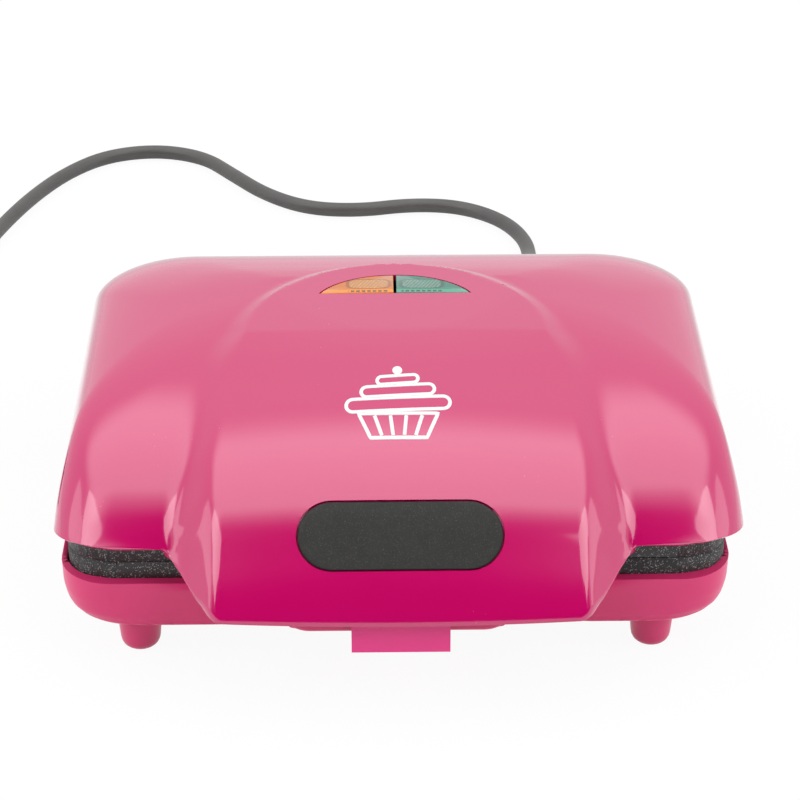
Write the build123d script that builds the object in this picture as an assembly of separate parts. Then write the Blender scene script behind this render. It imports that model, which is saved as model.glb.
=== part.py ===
"""Mini layer cake maker: a countertop cooker with a hinged, domed lid.

Axes while modelling: X to the right, Y to the rear, Z up, with Y = 0 at the front
edge of the lid's rim and Z = 0 at the table. Every piece is moved by the same step
when it is written, so that the origin lies under the middle of the cooker.
"""

import os
from functools import cache
from math import cos, pi, radians, sin, sqrt, tan

from build123d import *

# Rim of the lid
RIM_WIDTH = 246.0
RIM_DEPTH = 220.0
RIM_Z = 47.0
RIM_FRONT_RADIUS = 20.0
RIM_REAR_RADIUS = 38.0
LID_WALL = 2.6

# Lid levels above the rim: height, side, front and rear inset, share of the corner radii
LID_LEVELS = (
    (0.0, 0.0, 0.0, 0.0, 1.0),
    (8.0, 1.2, 5.0, 5.0, 0.98),
    (16.0, 3.0, 12.0, 15.0, 0.96),
    (23.0, 5.0, 21.0, 30.0, 0.94),
    (30.0, 9.0, 38.0, 47.0, 0.90),
    (36.0, 22.0, 66.0, 62.0, 0.80),
    (38.2, 34.0, 85.0, 69.5, 0.70),
    (39.4, 50.0, 103.0, 76.0, 0.50),
    (40.0, 70.0, 118.0, 82.0, 0.25),
)

# Raised tongue of the lid: a round arch at the rear, flared sides and a lip at the front
TONGUE_CROWN = 2.2
TONGUE_ARCH_RADIUS = 56.0
TONGUE_ARCH_Y = 91.0
TONGUE_ARCH_CROWN = 0.8
TONGUE_ARCH_CREST = 88.4
TONGUE_REAR_CREST = 88.5
TONGUE_ARCH_FLARE = 1.5
TONGUE_SINK = 1.2
SHOULDER_RAKE = 0.06
ARCH_MARGIN = 12.0
LIP_EDGE = 1.0
# Share of a wall by which the inner form of the lid lies lower and further back
LID_FALL = 0.85
LID_CREEP = 0.7
# Station, crest height, shoulder half width, foot half width, steepness of the foot
TONGUE_STATIONS = (
    (76.0, 87.4, 57.0, 62.2, 0.10),
    (60.0, 85.8, 58.5, 65.0, 0.10),
    (44.0, 83.9, 60.2, 68.6, 0.10),
    (29.0, 81.4, 61.2, 72.8, 0.12),
    (17.0, 78.4, 61.6, 77.2, 0.20),
    (8.0, 75.0, 61.8, 80.2, 0.30),
    (0.0, 70.4, 62.0, 82.0, 0.40),
    (-6.5, 64.4, 62.3, 77.0, 0.45),
    (-14.0, 55.8, 63.0, 72.8, 0.45),
    (-21.5, 46.6, 64.0, 68.6, 0.45),
    (-29.0, 38.4, 65.0, 65.8, 0.45),
)
LIP_REACH = 28.0
LIP_CORNER_REACH = 23.5
LIP_HALF_WIDTH = 65.5
LIP_Z = 37.6

# Base tray
BASE_SIDE_STEP = 3.0
BASE_TOP_Z = 33.5
BASE_BOTTOM_Z = 18.0
BASE_WALL = 2.2
BASE_FLANGE = 2.4
# Share of the tray's height below its edge, side inset, front and rear inset, corner share
BASE_LEVELS = (
    (0.0, 0.0, 0.0, 0.95),
    (0.30, 0.6, 0.4, 0.95),
    (0.58, 1.8, 1.0, 1.0),
    (0.82, 4.5, 2.4, 1.05),
    (1.0, 10.0, 6.0, 1.2),
)
HANDLE_HALF_WIDTH = 37.5
HANDLE_REACH = 16.5
HANDLE_CORNER = 9.0
HANDLE_BOTTOM_Z = 25.8

# Feet
FOOT_X = 92.6
FOOT_FRONT_Y = 18.0
FOOT_REAR_Y = 196.0
FOOT_TOP_DIAMETER = 15.5
FOOT_BOTTOM_DIAMETER = 13.0
FOOT_ROUNDING = 3.5
SPIGOT_DIAMETER = 6.0

# Cooking plates
PLATE_STEP = 7.0
PLATE_FLANGE = 3.5
PLATE_WALL = 3.0
PLATE_SKIRT = 9.5
PARTING_Z = 40.0
PARTING_GAP = 0.3
CUP_WALL = 1.8
LOWER_CUP_DEPTH = 11.5
UPPER_CUP_DEPTH = 15.0
CUP_DRAFT = 8.0
# Place and radius of the large, the middle and the small cake
CUPS = ((-54.0, 124.0, 51.0), (60.0, 140.0, 40.0), (42.0, 54.0, 29.0))

# Heating elements, reflectors and controls
ELEMENT_DIAMETER = 5.5
ELEMENT_HALF_WIDTH = 74.0
ELEMENT_FRONT_Y = 66.0
ELEMENT_REAR_Y = 168.0
ELEMENT_CORNER = 26.0
ELEMENT_LEG_X = 22.0
ELEMENT_LEG_REAR_Y = 184.0
REFLECTOR_SHEET = 0.5
REFLECTOR_STEP = 14.0
THERMOSTAT_DIAMETER = 17.0
THERMOSTAT_HEIGHT = 8.0
THERMOSTAT_PLACE = (4.0, 196.0)
FUSE_DIAMETER = 4.0
FUSE_LENGTH = 14.0
FUSE_PLACE = (-62.0, 42.0)
BLOCK_SIZE = (32.0, 11.0, 9.5)
BLOCK_PLACE = (64.0, 195.0)
SEAT_GAP = 0.2

# Screws that hold each plate
SCREW_PLACES = ((-100.0, 60.0), (-100.0, 186.0), (100.0, 60.0), (104.0, 190.0), (-12.0, 40.0))
SCREW_DIAMETER = 3.0
SCREW_HEAD_DIAMETER = 6.0
SCREW_HEAD_HEIGHT = 2.2
SCREW_REACH = 6.5
SCREW_TIP_GAP = 0.8
BOSS_DIAMETER = 7.5

# Hinge
HINGE_Y = 229.0
HINGE_Z = 44.0
HINGE_X = 80.0
EAR_RADIUS = 6.5
LID_EAR_WIDTH = 12.0
BASE_EAR_WIDTH = 6.0
EAR_GAP = 0.4
PIN_DIAMETER = 5.0
RUNNING_GAP = 0.05
SLEEVE_RADIUS = 9.0
SLEEVE_BORE = 7.2
SLEEVE_WIDTH = 22.0
SLEEVE_X = 12.0
LEAD_DIAMETER = 5.0
LEAD_EAR_WIDTH = 8.0

# Latch
LATCH_WIDTH = 34.3
LATCH_THICKNESS = 2.4
LATCH_PIVOT_Y = -18.4
LATCH_PIVOT_Z = 41.2
LATCH_BOTTOM_Z = 21.2
LATCH_HUB_RADIUS = 2.6
LATCH_PIN_DIAMETER = 2.5
LATCH_HOOK = 3.6
LATCH_HOOK_HEIGHT = 3.9
LATCH_REST_TILT = -8.0
LATCH_CHEEK = 3.5
LATCH_CHEEK_REAR = 9.0
LINER_SHEET = 2.0

# Lights
LENS_HALF_WIDTH = 28.5
LENS_FRONT_Y = 121.5
LENS_DEPTH = 16.5
LENS_SHEET = 2.6
LENS_GAP = 0.15
LENS_DIVIDER = 1.0
LAMP_DIAMETER = 4.0
LAMP_LENGTH = 11.0
LAMP_X = 12.0
CARRIER_SHEET = 1.6

# Grip pad
PAD_LENGTH = 71.0
PAD_HEIGHT = 24.0
PAD_Y = -9.5
PAD_Z = 60.6
PAD_SLOPE = 48.0
PAD_SHEET = 1.2
PAD_SINK = 0.3
PAD_GAP = 0.5
PAD_SEAT = 0.3

# Mains cord and plug
CORD_DIAMETER = 6.8
CORD_X = 61.0
CORD_Z = 24.5
RELIEF_LENGTH = 32.0
RELIEF_DIAMETER = 12.0
RELIEF_NOSE = 4.0
PLUG_DIAMETER = 37.0
PLUG_LENGTH = 34.0
PLUG_NECK_LENGTH = 22.0
PLUG_PIN_DIAMETER = 4.8
PLUG_PIN_LENGTH = 19.0
PLUG_PIN_SPACING = 19.0
# Route over the table, in written coordinates, chosen by hand along the visible curve
CORD_ROUTE = (
    (61.0, 144.0, 24.5),
    (61.0, 168.0, 24.5),
    (63.0, 192.0, 14.5),
    (66.0, 217.0, 3.6),
    (65.0, 241.0, 3.6),
    (54.5, 263.5, 3.6),
    (35.0, 278.5, 3.6),
    (11.0, 281.0, 3.6),
    (-14.0, 274.5, 3.6),
    (-39.0, 277.5, 3.6),
    (-60.0, 294.0, 3.6),
    (-77.0, 318.0, 3.6),
    (-92.0, 339.5, 3.6),
    (-116.0, 349.0, 3.6),
    (-141.5, 342.5, 3.6),
    (-159.5, 322.5, 3.6),
    (-173.0, 296.0, 3.6),
    (-184.0, 265.0, 3.6),
    (-192.5, 232.0, 3.6),
    (-198.0, 198.5, 4.0),
    (-201.0, 164.5, 7.5),
    (-202.5, 131.0, 14.5),
    (-203.5, 104.0, 18.6),
    (-203.5, 82.0, 18.6),
)

# The origin lies under the middle, between the front of the lip and the rear of the sleeve
MIDDLE_Y = (HINGE_Y + SLEEVE_RADIUS - LIP_REACH) / 2
DEEP = 60.0


def outline(z, half_width, front, rear, front_radius, rear_radius):
    """Rounded rectangle with its own radii at the front and at the rear, as a wire."""
    right_front = (half_width - front_radius, front + front_radius, z)
    right_rear = (half_width - rear_radius, rear - rear_radius, z)
    left_front = (-half_width + front_radius, front + front_radius, z)
    left_rear = (-half_width + rear_radius, rear - rear_radius, z)
    corners = (
        CenterArc(right_front, front_radius, 270, 90),
        CenterArc(right_rear, rear_radius, 0, 90),
        CenterArc(left_rear, rear_radius, 90, 90),
        CenterArc(left_front, front_radius, 180, 90),
    )
    edges = []
    for corner, following in zip(corners, corners[1:] + corners[:1]):
        edges.append(corner)
        edges.append(Line(corner @ 1, following @ 0))
    return Wire(edges)


def prism(wire, height):
    """Straight solid that stands on a flat wire."""
    return extrude(Face(wire), amount=height, dir=(0, 0, 1))


def profile_along_x(points, x_from, x_to):
    """Solid with a closed outline in the YZ plane, from one X to another."""
    face = Face(Polyline(*[(x_from, y, z) for y, z in points], close=True).wire())
    return extrude(face, amount=x_to - x_from, dir=(1, 0, 0))


def bar_along_x(diameter, x_from, x_to, y, z):
    """Round bar whose axis runs along X."""
    bar = Cylinder(diameter / 2, x_to - x_from, rotation=(0, 90, 0))
    return Pos((x_from + x_to) / 2, y, z) * bar


def disc(diameter, x, y, z_from, z_to):
    """Round upright post."""
    post = Cylinder(diameter / 2, z_to - z_from, align=(Align.CENTER, Align.CENTER, Align.MIN))
    return Pos(x, y, z_from) * post


# Lid form


def lid_wings(inset):
    """Dome of the lid without its tongue, drawn in by a wall."""
    wires = []
    half = RIM_WIDTH / 2 - inset
    for rise, side, front, rear, share in LID_LEVELS:
        z = RIM_Z + rise - inset
        wires.append(
            outline(
                z,
                half - side,
                front + inset,
                RIM_DEPTH - rear - inset,
                max(RIM_FRONT_RADIUS * share - inset * share, 2),
                max(RIM_REAR_RADIUS * share - inset * share, 2),
            )
        )
    dome = Solid.make_loft(wires)
    skirt = prism(wires[0].moved(Pos(0, 0, -DEEP)), DEEP)
    return dome + skirt


def wing_height(y):
    """Height of the dome over a place behind the front rim, on a straight between levels."""
    front_levels = [(level[2], RIM_Z + level[0]) for level in LID_LEVELS]
    for (y_low, z_low), (y_high, z_high) in zip(front_levels, front_levels[1:]):
        if y <= y_high:
            return z_low + (z_high - z_low) * (y - y_low) / (y_high - y_low)
    return front_levels[-1][1]


def rim_height(y):
    """Height of the rim line: level along the wings, falling over the lip."""
    return RIM_Z + min(y, 0) * (RIM_Z - LIP_Z) / LIP_REACH


def tongue_section(y, crest, shoulder, foot, rakes):
    """Section of the tongue across the lid: flared sides and a crowned top.

    Crest, shoulder and foot are (half width, height) pairs. The two rakes say how much
    of the rise is done at 40% of the reach from the foot and from the shoulder.
    """
    foot_x, foot_z = foot
    shoulder_x, shoulder_z = shoulder
    rise = shoulder_z - foot_z
    handle = 0.4 * (foot_x - shoulder_x)
    points = {}
    for side in (1, -1):
        points[side] = (
            (side * foot_x, y, RIM_Z - DEEP),
            (side * foot_x, y, foot_z),
            (side * (foot_x - handle), y, foot_z + rakes[0] * rise),
            (side * (shoulder_x + handle), y, shoulder_z - rakes[1] * rise),
            (side * shoulder_x, y, shoulder_z),
        )
    right, left = points[1], points[-1]
    edges = [
        Line(right[0], right[1]),
        Bezier(*right[1:]),
        ThreePointArc(right[4], (0, y, crest), left[4]),
        Bezier(*reversed(left[1:])),
        Line(left[1], left[0]),
        Line(left[0], right[0]),
    ]
    return Wire(edges)


def sagitta(half):
    """Drop of the rear top's round crown at a half width."""
    radius = (TONGUE_ARCH_RADIUS**2 + TONGUE_ARCH_CROWN**2) / (2 * TONGUE_ARCH_CROWN)
    return radius - sqrt(radius**2 - half**2)


def arch_shoulder(inset):
    """Half width and height at which the arch's top turns into its flank."""
    half = TONGUE_ARCH_RADIUS - inset
    return half, TONGUE_ARCH_CREST - LID_FALL * inset - sagitta(half)


def tongue_body(inset):
    """Tongue from its arch to the wings' front, and on into the lip, as two lofts."""
    half, height = arch_shoulder(inset)
    foot_z = wing_height(TONGUE_ARCH_Y) - TONGUE_SINK - LID_FALL * inset
    foot = half + (height - foot_z) * TONGUE_ARCH_FLARE
    behind_rim = [
        tongue_section(
            TONGUE_ARCH_Y + LID_CREEP * inset,
            TONGUE_ARCH_CREST - LID_FALL * inset,
            (half, height),
            (foot, foot_z),
            (0.4, 0.4),
        )
    ]
    over_lip = []
    for y, crest, shoulder, foot, rake in TONGUE_STATIONS:
        foot_z = wing_height(y) - TONGUE_SINK if y > 0 else rim_height(y) + LIP_EDGE
        section = tongue_section(
            y + LID_CREEP * inset,
            crest - LID_FALL * inset,
            (shoulder - inset, crest - LID_FALL * inset - TONGUE_CROWN),
            (foot - inset, foot_z - LID_FALL * inset),
            (rake, SHOULDER_RAKE),
        )
        if y >= 0:
            behind_rim.append(section)
        if y <= 0:
            over_lip.append(section)
    return Solid.make_loft(behind_rim) + Solid.make_loft(over_lip)


def arch_crest(inset):
    """Crowned block under the rear part of the tongue's top."""
    wires = []
    half = TONGUE_ARCH_RADIUS + ARCH_MARGIN
    ends = (
        (TONGUE_ARCH_Y, TONGUE_ARCH_CREST),
        (TONGUE_ARCH_Y + half, TONGUE_REAR_CREST),
    )
    for y, crest in ends:
        y = y + LID_CREEP * inset
        high = crest - LID_FALL * inset
        edge = high - sagitta(half)
        low = RIM_Z - inset
        wires.append(
            Wire([
                Line((half, y, low), (half, y, edge)),
                ThreePointArc((half, y, edge), (0, y, high), (-half, y, edge)),
                Line((-half, y, edge), (-half, y, low)),
                Line((-half, y, low), (half, y, low)),
            ])
        )
    return Solid.make_loft(wires)


def tongue_arch(inset):
    """Round rear end of the tongue, its flank flared like the sides."""
    half, height = arch_shoulder(inset)
    top = TONGUE_REAR_CREST + ARCH_MARGIN / 2
    low = RIM_Z - inset
    narrow = half - (top - height) * TONGUE_ARCH_FLARE
    wide = half + (height - low) * TONGUE_ARCH_FLARE
    cone = Pos(0, TONGUE_ARCH_Y + LID_CREEP * inset, (top + low) / 2) * Cone(wide, narrow, top - low)
    return arch_crest(inset) & cone


def lid_tongue(inset):
    """Raised tongue from the rear arch, over the front and down into the lip."""
    solid = tongue_body(inset)
    reach = LIP_REACH - inset
    corner = LIP_CORNER_REACH - inset
    wide = LIP_HALF_WIDTH + 40
    bow = ThreePointArc((-LIP_HALF_WIDTH, -corner), (0, -reach), (LIP_HALF_WIDTH, -corner))
    ahead = Polyline(
        (LIP_HALF_WIDTH, -corner), (wide, -corner), (wide, RIM_DEPTH), (-wide, RIM_DEPTH),
        (-wide, -corner), (-LIP_HALF_WIDTH, -corner),
    )
    plan = Pos(0, 0, RIM_Z - DEEP) * Face(Wire([*bow.edges(), *ahead.edges()]))
    return solid & extrude(plan, amount=2 * DEEP, dir=(0, 0, 1))


def below_rim(lift):
    """Everything under the rim line, which falls from the wings to the lip."""
    low = RIM_Z - DEEP - 5
    points = (
        (-LIP_REACH - 10, low),
        (RIM_DEPTH + 40, low),
        (RIM_DEPTH + 40, RIM_Z + lift),
        (0, RIM_Z + lift),
        (-LIP_CORNER_REACH, LIP_Z + 0.6 + lift),
        (-LIP_REACH - 10, LIP_Z - 0.5 + lift),
    )
    half = RIM_WIDTH / 2 + 10
    return profile_along_x(points, -half, half)


@cache
def lid_form(inset):
    """Whole outer form of the lid, drawn in by a wall, down past the rim."""
    return lid_wings(inset) + lid_tongue(inset) + tongue_arch(inset)


def pad_plane():
    """Plane on the front slope of the tongue, its normal out of the surface."""
    slope = radians(PAD_SLOPE)
    return Plane(origin=(0, PAD_Y, PAD_Z), x_dir=(1, 0, 0), z_dir=(0, -sin(slope), cos(slope)))


def pad_prism(growth):
    """Stadium-shaped prism through the front slope."""
    stadium = SlotOverall(PAD_LENGTH + 2 * growth, PAD_HEIGHT + 2 * growth)
    return extrude(pad_plane() * stadium, amount=9, both=True)


def lens_prism(growth):
    """Upright prism with the outline of the window: straight front, bowed rear."""
    half = LENS_HALF_WIDTH + 1.5 * growth
    front = LENS_FRONT_Y - growth
    rear = LENS_FRONT_Y + LENS_DEPTH + growth
    straight = Line((-half, front, RIM_Z), (half, front, RIM_Z))
    bow = ThreePointArc((half, front, RIM_Z), (0, rear, RIM_Z), (-half, front, RIM_Z))
    return prism(Wire([straight, bow]), DEEP)


def ear(width, radius, x, root):
    """Hinge ear: a round eye on an arm that grows out of a wall."""
    x_from = x - width / 2
    eye = bar_along_x(2 * radius, x_from, x + width / 2, HINGE_Y, HINGE_Z)
    arm = profile_along_x(root, x_from, x + width / 2)
    return eye + arm


def lid_ear_root():
    """Arm of a lid ear, from inside the rear wall to the eye."""
    return (
        (RIM_DEPTH - 0.8, RIM_Z + 0.2),
        (RIM_DEPTH - 7.6, RIM_Z + 9.5),
        (HINGE_Y, HINGE_Z + EAR_RADIUS),
        (HINGE_Y, HINGE_Z - EAR_RADIUS),
    )


def base_ear_root(radius):
    """Arm of a base ear, from inside the tray's rear wall up to the eye."""
    wall = RIM_DEPTH - PLATE_STEP + SEAT_GAP
    lean = radius * 0.7
    return (
        (wall, BASE_BOTTOM_Z + 5.5),
        (wall, BASE_TOP_Z - 0.2),
        (HINGE_Y - lean, HINGE_Z + lean),
        (HINGE_Y + lean, HINGE_Z - lean),
    )


# Lid pieces


def cup_solid(radius, depth, wall, up, z):
    """Round cup body or hollow with drafted sides and a rounded floor."""
    rim = radius + wall
    floor = depth + wall
    foot = rim - floor * tan(radians(CUP_DRAFT))
    corner = 3.0 + wall
    sign = 1 if up else -1
    line = Polyline((0, 0), (rim, 0), (foot, floor), (0, floor), close=True)
    face = Face(line.wire())
    bend = face.vertices().sort_by(lambda v: abs(v.X - foot) + abs(v.Y - floor))[0]
    rounded = fillet(bend, corner)
    turned = Plane.XZ * rounded
    solid = revolve(turned, Axis.Z, 360)
    if sign < 0:
        solid = mirror(solid, about=Plane.XY)
    return Pos(0, 0, z) * solid


def cooking_plate(up):
    """Die-cast plate with a skirt and three cups, facing the parting plane."""
    face_z = PARTING_Z + (PARTING_GAP if up else 0)
    sign = 1 if up else -1
    half = RIM_WIDTH / 2 - PLATE_STEP
    ends = (PLATE_STEP, RIM_DEPTH - PLATE_STEP)
    radii = (RIM_FRONT_RADIUS - PLATE_STEP + 4, RIM_REAR_RADIUS - PLATE_STEP + 4)
    skirt_low = face_z if up else face_z - PLATE_SKIRT
    body = prism(outline(skirt_low, half, *ends, *radii), PLATE_SKIRT)
    pocket_low = face_z + PLATE_FLANGE if up else face_z - PLATE_SKIRT
    pocket = prism(
        outline(
            pocket_low,
            half - PLATE_WALL,
            ends[0] + PLATE_WALL,
            ends[1] - PLATE_WALL,
            radii[0] - PLATE_WALL,
            radii[1] - PLATE_WALL,
        ),
        PLATE_SKIRT - PLATE_FLANGE,
    )
    plate = body - pocket
    depth = UPPER_CUP_DEPTH if up else LOWER_CUP_DEPTH
    for x, y, radius in CUPS:
        plate = plate + Pos(x, y, 0) * cup_solid(radius, depth, CUP_WALL, up, face_z)
    for x, y, radius in CUPS:
        plate = plate - Pos(x, y, 0) * cup_solid(radius, depth, 0, up, face_z)
    for x, y in SCREW_PLACES:
        near = face_z + sign * (PLATE_FLANGE - 0.5)
        far = face_z + sign * PLATE_SKIRT
        post = disc(BOSS_DIAMETER, x, y, min(near, far), max(near, far))
        hole_from = face_z if up else face_z - PLATE_FLANGE - SCREW_TIP_GAP / 2
        hole = disc(SCREW_DIAMETER, x, y, min(hole_from, far), max(hole_from, far))
        plate = plate + post - hole
        if up:
            head = SCREW_HEAD_HEIGHT
            plate = plate - disc(SCREW_HEAD_DIAMETER + SEAT_GAP, x, y, face_z, face_z + head)
    return plate


def lid_cover():
    """Domed shell of the lid with the window, the pad recess, bosses and ears."""
    shell = lid_form(0) - lid_tongue(LID_WALL) - lid_wings(LID_WALL) - tongue_arch(LID_WALL)
    shell = shell - below_rim(0)
    shell = shell - (pad_prism(PAD_GAP) - lid_tongue(PAD_SHEET + PAD_SINK))
    shell = shell - lens_prism(LENS_GAP)
    plate_top = PARTING_Z + PARTING_GAP + PLATE_SKIRT
    core = lid_form(LID_WALL / 2)
    for x, y in SCREW_PLACES:
        boss = disc(BOSS_DIAMETER, x, y, plate_top, RIM_Z + DEEP) & core
        shell = shell + boss
        shell = shell - screw_hole(x, y, plate_top)
    for side in (-1, 1):
        shell = shell + ear(LID_EAR_WIDTH, EAR_RADIUS, side * HINGE_X, lid_ear_root())
    shell = shell - bar_along_x(
        PIN_DIAMETER + 2 * RUNNING_GAP, -RIM_WIDTH / 2, RIM_WIDTH / 2, HINGE_Y, HINGE_Z
    )
    shell = shell - sleeve_neck(SEAT_GAP)
    shell = shell + latch_bosses()
    shell = shell - latch_pin_bar(0)
    return shell


def screw_hole(x, y, plate_top):
    """Blind hole in a lid boss for a plate screw."""
    return disc(SCREW_DIAMETER, x, y, plate_top, plate_top + SCREW_REACH + SCREW_TIP_GAP)


def latch_bosses():
    """Two short cheeks inside the lip that hold the latch pin."""
    cheeks = None
    inner = LATCH_WIDTH / 2 + EAR_GAP
    core = lid_form(LID_WALL / 2) - below_rim(1.0)
    for side in (-1, 1):
        x_from = inner if side > 0 else -inner - LATCH_CHEEK
        profile = (
            (LATCH_PIVOT_Y - 8, LATCH_PIVOT_Z - 2.2),
            (LATCH_PIVOT_Y + 3, LATCH_PIVOT_Z - 2.2),
            (LATCH_PIVOT_Y + LATCH_CHEEK_REAR, LATCH_PIVOT_Z + 8),
            (LATCH_PIVOT_Y + LATCH_CHEEK_REAR, LATCH_PIVOT_Z + 30),
            (LATCH_PIVOT_Y - 8, LATCH_PIVOT_Z + 30),
        )
        cheek = profile_along_x(profile, x_from, x_from + LATCH_CHEEK) & core
        cheeks = cheek if cheeks is None else cheeks + cheek
    return cheeks


def latch_pin_bar(gap):
    """Steel pin of the latch, through both cheeks."""
    reach = LATCH_WIDTH / 2 + EAR_GAP + LATCH_CHEEK
    return bar_along_x(
        LATCH_PIN_DIAMETER + 2 * gap, -reach, reach, LATCH_PIVOT_Y, LATCH_PIVOT_Z
    )


def latch_clip():
    """Flat latch plate with a hub on its pin and a hook that goes under the handle."""
    front = LATCH_PIVOT_Y - LATCH_HUB_RADIUS
    back = front + LATCH_THICKNESS
    half = LATCH_WIDTH / 2
    plate = profile_along_x(
        (
            (front, LATCH_PIVOT_Z),
            (back, LATCH_PIVOT_Z),
            (back, LATCH_BOTTOM_Z + LATCH_HOOK_HEIGHT),
            (back + LATCH_HOOK, LATCH_BOTTOM_Z + LATCH_HOOK_HEIGHT),
            (back + LATCH_HOOK - 1.2, LATCH_BOTTOM_Z),
            (front, LATCH_BOTTOM_Z),
        ),
        -half,
        half,
    )
    hub = bar_along_x(2 * LATCH_HUB_RADIUS, -half, half, LATCH_PIVOT_Y, LATCH_PIVOT_Z)
    clip = plate + hub - latch_pin_bar(RUNNING_GAP)
    tilt = Pos(0, LATCH_PIVOT_Y, LATCH_PIVOT_Z) * Rot(LATCH_REST_TILT, 0, 0)
    return tilt * Pos(0, -LATCH_PIVOT_Y, -LATCH_PIVOT_Z) * clip


def window_lens(side):
    """One tinted half of the window, flush with the lid."""
    slab = arch_crest(LENS_GAP) - arch_crest(LENS_GAP + LENS_SHEET)
    half = lens_prism(0) & slab
    far = LENS_HALF_WIDTH + 5
    start = side * LENS_DIVIDER / 2
    box_from, box_to = sorted((start, side * far))
    keep = profile_along_x(
        (
            (LENS_FRONT_Y - 5, RIM_Z),
            (LENS_FRONT_Y + LENS_DEPTH + 5, RIM_Z),
            (LENS_FRONT_Y + LENS_DEPTH + 5, RIM_Z + DEEP),
            (LENS_FRONT_Y - 5, RIM_Z + DEEP),
        ),
        box_from,
        box_to,
    )
    return half & keep


def lamp_carrier():
    """Tray under the window that carries both lamps, hung from the lid by two legs."""
    top = lens_underside() - LAMP_DIAMETER - 2 * SEAT_GAP
    y = LENS_FRONT_Y + LENS_DEPTH / 2 - 1
    tray = Pos(0, y, top - CARRIER_SHEET / 2) * Box(2 * LENS_HALF_WIDTH + 6, 10, CARRIER_SHEET)
    core = lid_form(LID_WALL + SEAT_GAP)
    for side in (-1, 1):
        leg = disc(4.5, side * (LENS_HALF_WIDTH + 0.5), y, top - CARRIER_SHEET / 2, RIM_Z + DEEP)
        tray = tray + (leg & core)
    return tray


def lens_underside():
    """Height of the lens underside over the lamps."""
    return TONGUE_ARCH_CREST - TONGUE_ARCH_CROWN - LENS_SHEET - 2 * SEAT_GAP


def lamp(side):
    """Small glow lamp that lies on the carrier."""
    y = LENS_FRONT_Y + LENS_DEPTH / 2 - 1
    z = lens_underside() - SEAT_GAP - LAMP_DIAMETER / 2
    centre = side * LAMP_X
    glass = bar_along_x(LAMP_DIAMETER, centre - LAMP_LENGTH / 2, centre + LAMP_LENGTH / 2, y, z)
    return fillet(glass.edges().filter_by(GeomType.CIRCLE), LAMP_DIAMETER * 0.4)


def grip_pad():
    """Matt pad that lies in the recess of the front slope."""
    return (pad_prism(0) & lid_tongue(PAD_SINK)) - lid_tongue(PAD_SHEET + PAD_SINK - PAD_SEAT)


def handle_liner():
    """Panel that closes the underside of the lip, with a slot for the latch."""
    core = lid_form(LID_WALL + SEAT_GAP)
    band = below_rim(3.0 + LINER_SHEET) - below_rim(3.0)
    rear = PLATE_STEP - 1.0
    front_part = Pos(0, rear - 50, RIM_Z) * Box(RIM_WIDTH, 100, 2 * DEEP)
    panel = band & core & front_part
    slot_half = LATCH_WIDTH / 2 + EAR_GAP + LATCH_CHEEK + SEAT_GAP
    slot_rear = LATCH_PIVOT_Y + LATCH_CHEEK_REAR + SEAT_GAP
    slot = Pos(0, slot_rear - 20, RIM_Z) * Box(2 * slot_half, 40, 2 * DEEP)
    return panel - slot


def sleeve_neck(gap):
    """Neck of the link sleeve, from the hinge line through the lid's rear wall."""
    width = SLEEVE_WIDTH - 8
    low = RIM_Z + 3.0
    high = RIM_Z + 7.5
    points = (
        (RIM_DEPTH - 12, low - gap),
        (RIM_DEPTH - 12, high + gap),
        (HINGE_Y, high + gap),
        (HINGE_Y, low - gap),
    )
    x_from = SLEEVE_X - width / 2 - gap
    return profile_along_x(points, x_from, SLEEVE_X + width / 2 + gap)


def link_sleeve():
    """Round sleeve on the hinge line that takes the lead from the base to the lid."""
    x_from = SLEEVE_X - SLEEVE_WIDTH / 2
    x_to = SLEEVE_X + SLEEVE_WIDTH / 2
    barrel = bar_along_x(2 * SLEEVE_RADIUS, x_from, x_to, HINGE_Y, HINGE_Z)
    barrel = fillet(barrel.edges().filter_by(GeomType.CIRCLE), 1.5)
    return barrel + sleeve_neck(0) - bar_along_x(SLEEVE_BORE, x_from, x_to, HINGE_Y, HINGE_Z)


# Base pieces


def base_form(inset):
    """Outer form of the tray, drawn in by a wall."""
    wires = []
    height = BASE_TOP_Z - BASE_BOTTOM_Z
    half = RIM_WIDTH / 2 - BASE_SIDE_STEP - inset
    for share, side, end, corner in reversed(BASE_LEVELS):
        z = BASE_TOP_Z - share * height + inset * share
        wires.append(
            outline(
                z,
                half - side,
                BASE_SIDE_STEP + end + inset,
                RIM_DEPTH - BASE_SIDE_STEP - end - inset,
                RIM_FRONT_RADIUS * corner - inset,
                RIM_REAR_RADIUS * corner - inset,
            )
        )
    return Solid.make_loft(wires)


def base_handle():
    """Rounded shelf at the front of the tray, under the lip."""
    y_rear = BASE_SIDE_STEP + 6
    points = (
        (-HANDLE_HALF_WIDTH - 6, y_rear, HANDLE_BOTTOM_Z),
        (-HANDLE_HALF_WIDTH, -HANDLE_REACH, HANDLE_BOTTOM_Z),
        (HANDLE_HALF_WIDTH, -HANDLE_REACH, HANDLE_BOTTOM_Z),
        (HANDLE_HALF_WIDTH + 6, y_rear, HANDLE_BOTTOM_Z),
    )
    face = Face(Polyline(*points, close=True).wire())
    front_corners = face.vertices().sort_by(Axis.Y)[:2]
    shelf = extrude(fillet(front_corners, HANDLE_CORNER), amount=BASE_TOP_Z - HANDLE_BOTTOM_Z)
    lip = shelf.edges().group_by(Axis.Z)[0].filter_by(lambda e: e.center().Y < y_rear - 1)
    return fillet(lip, 1.6)


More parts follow.
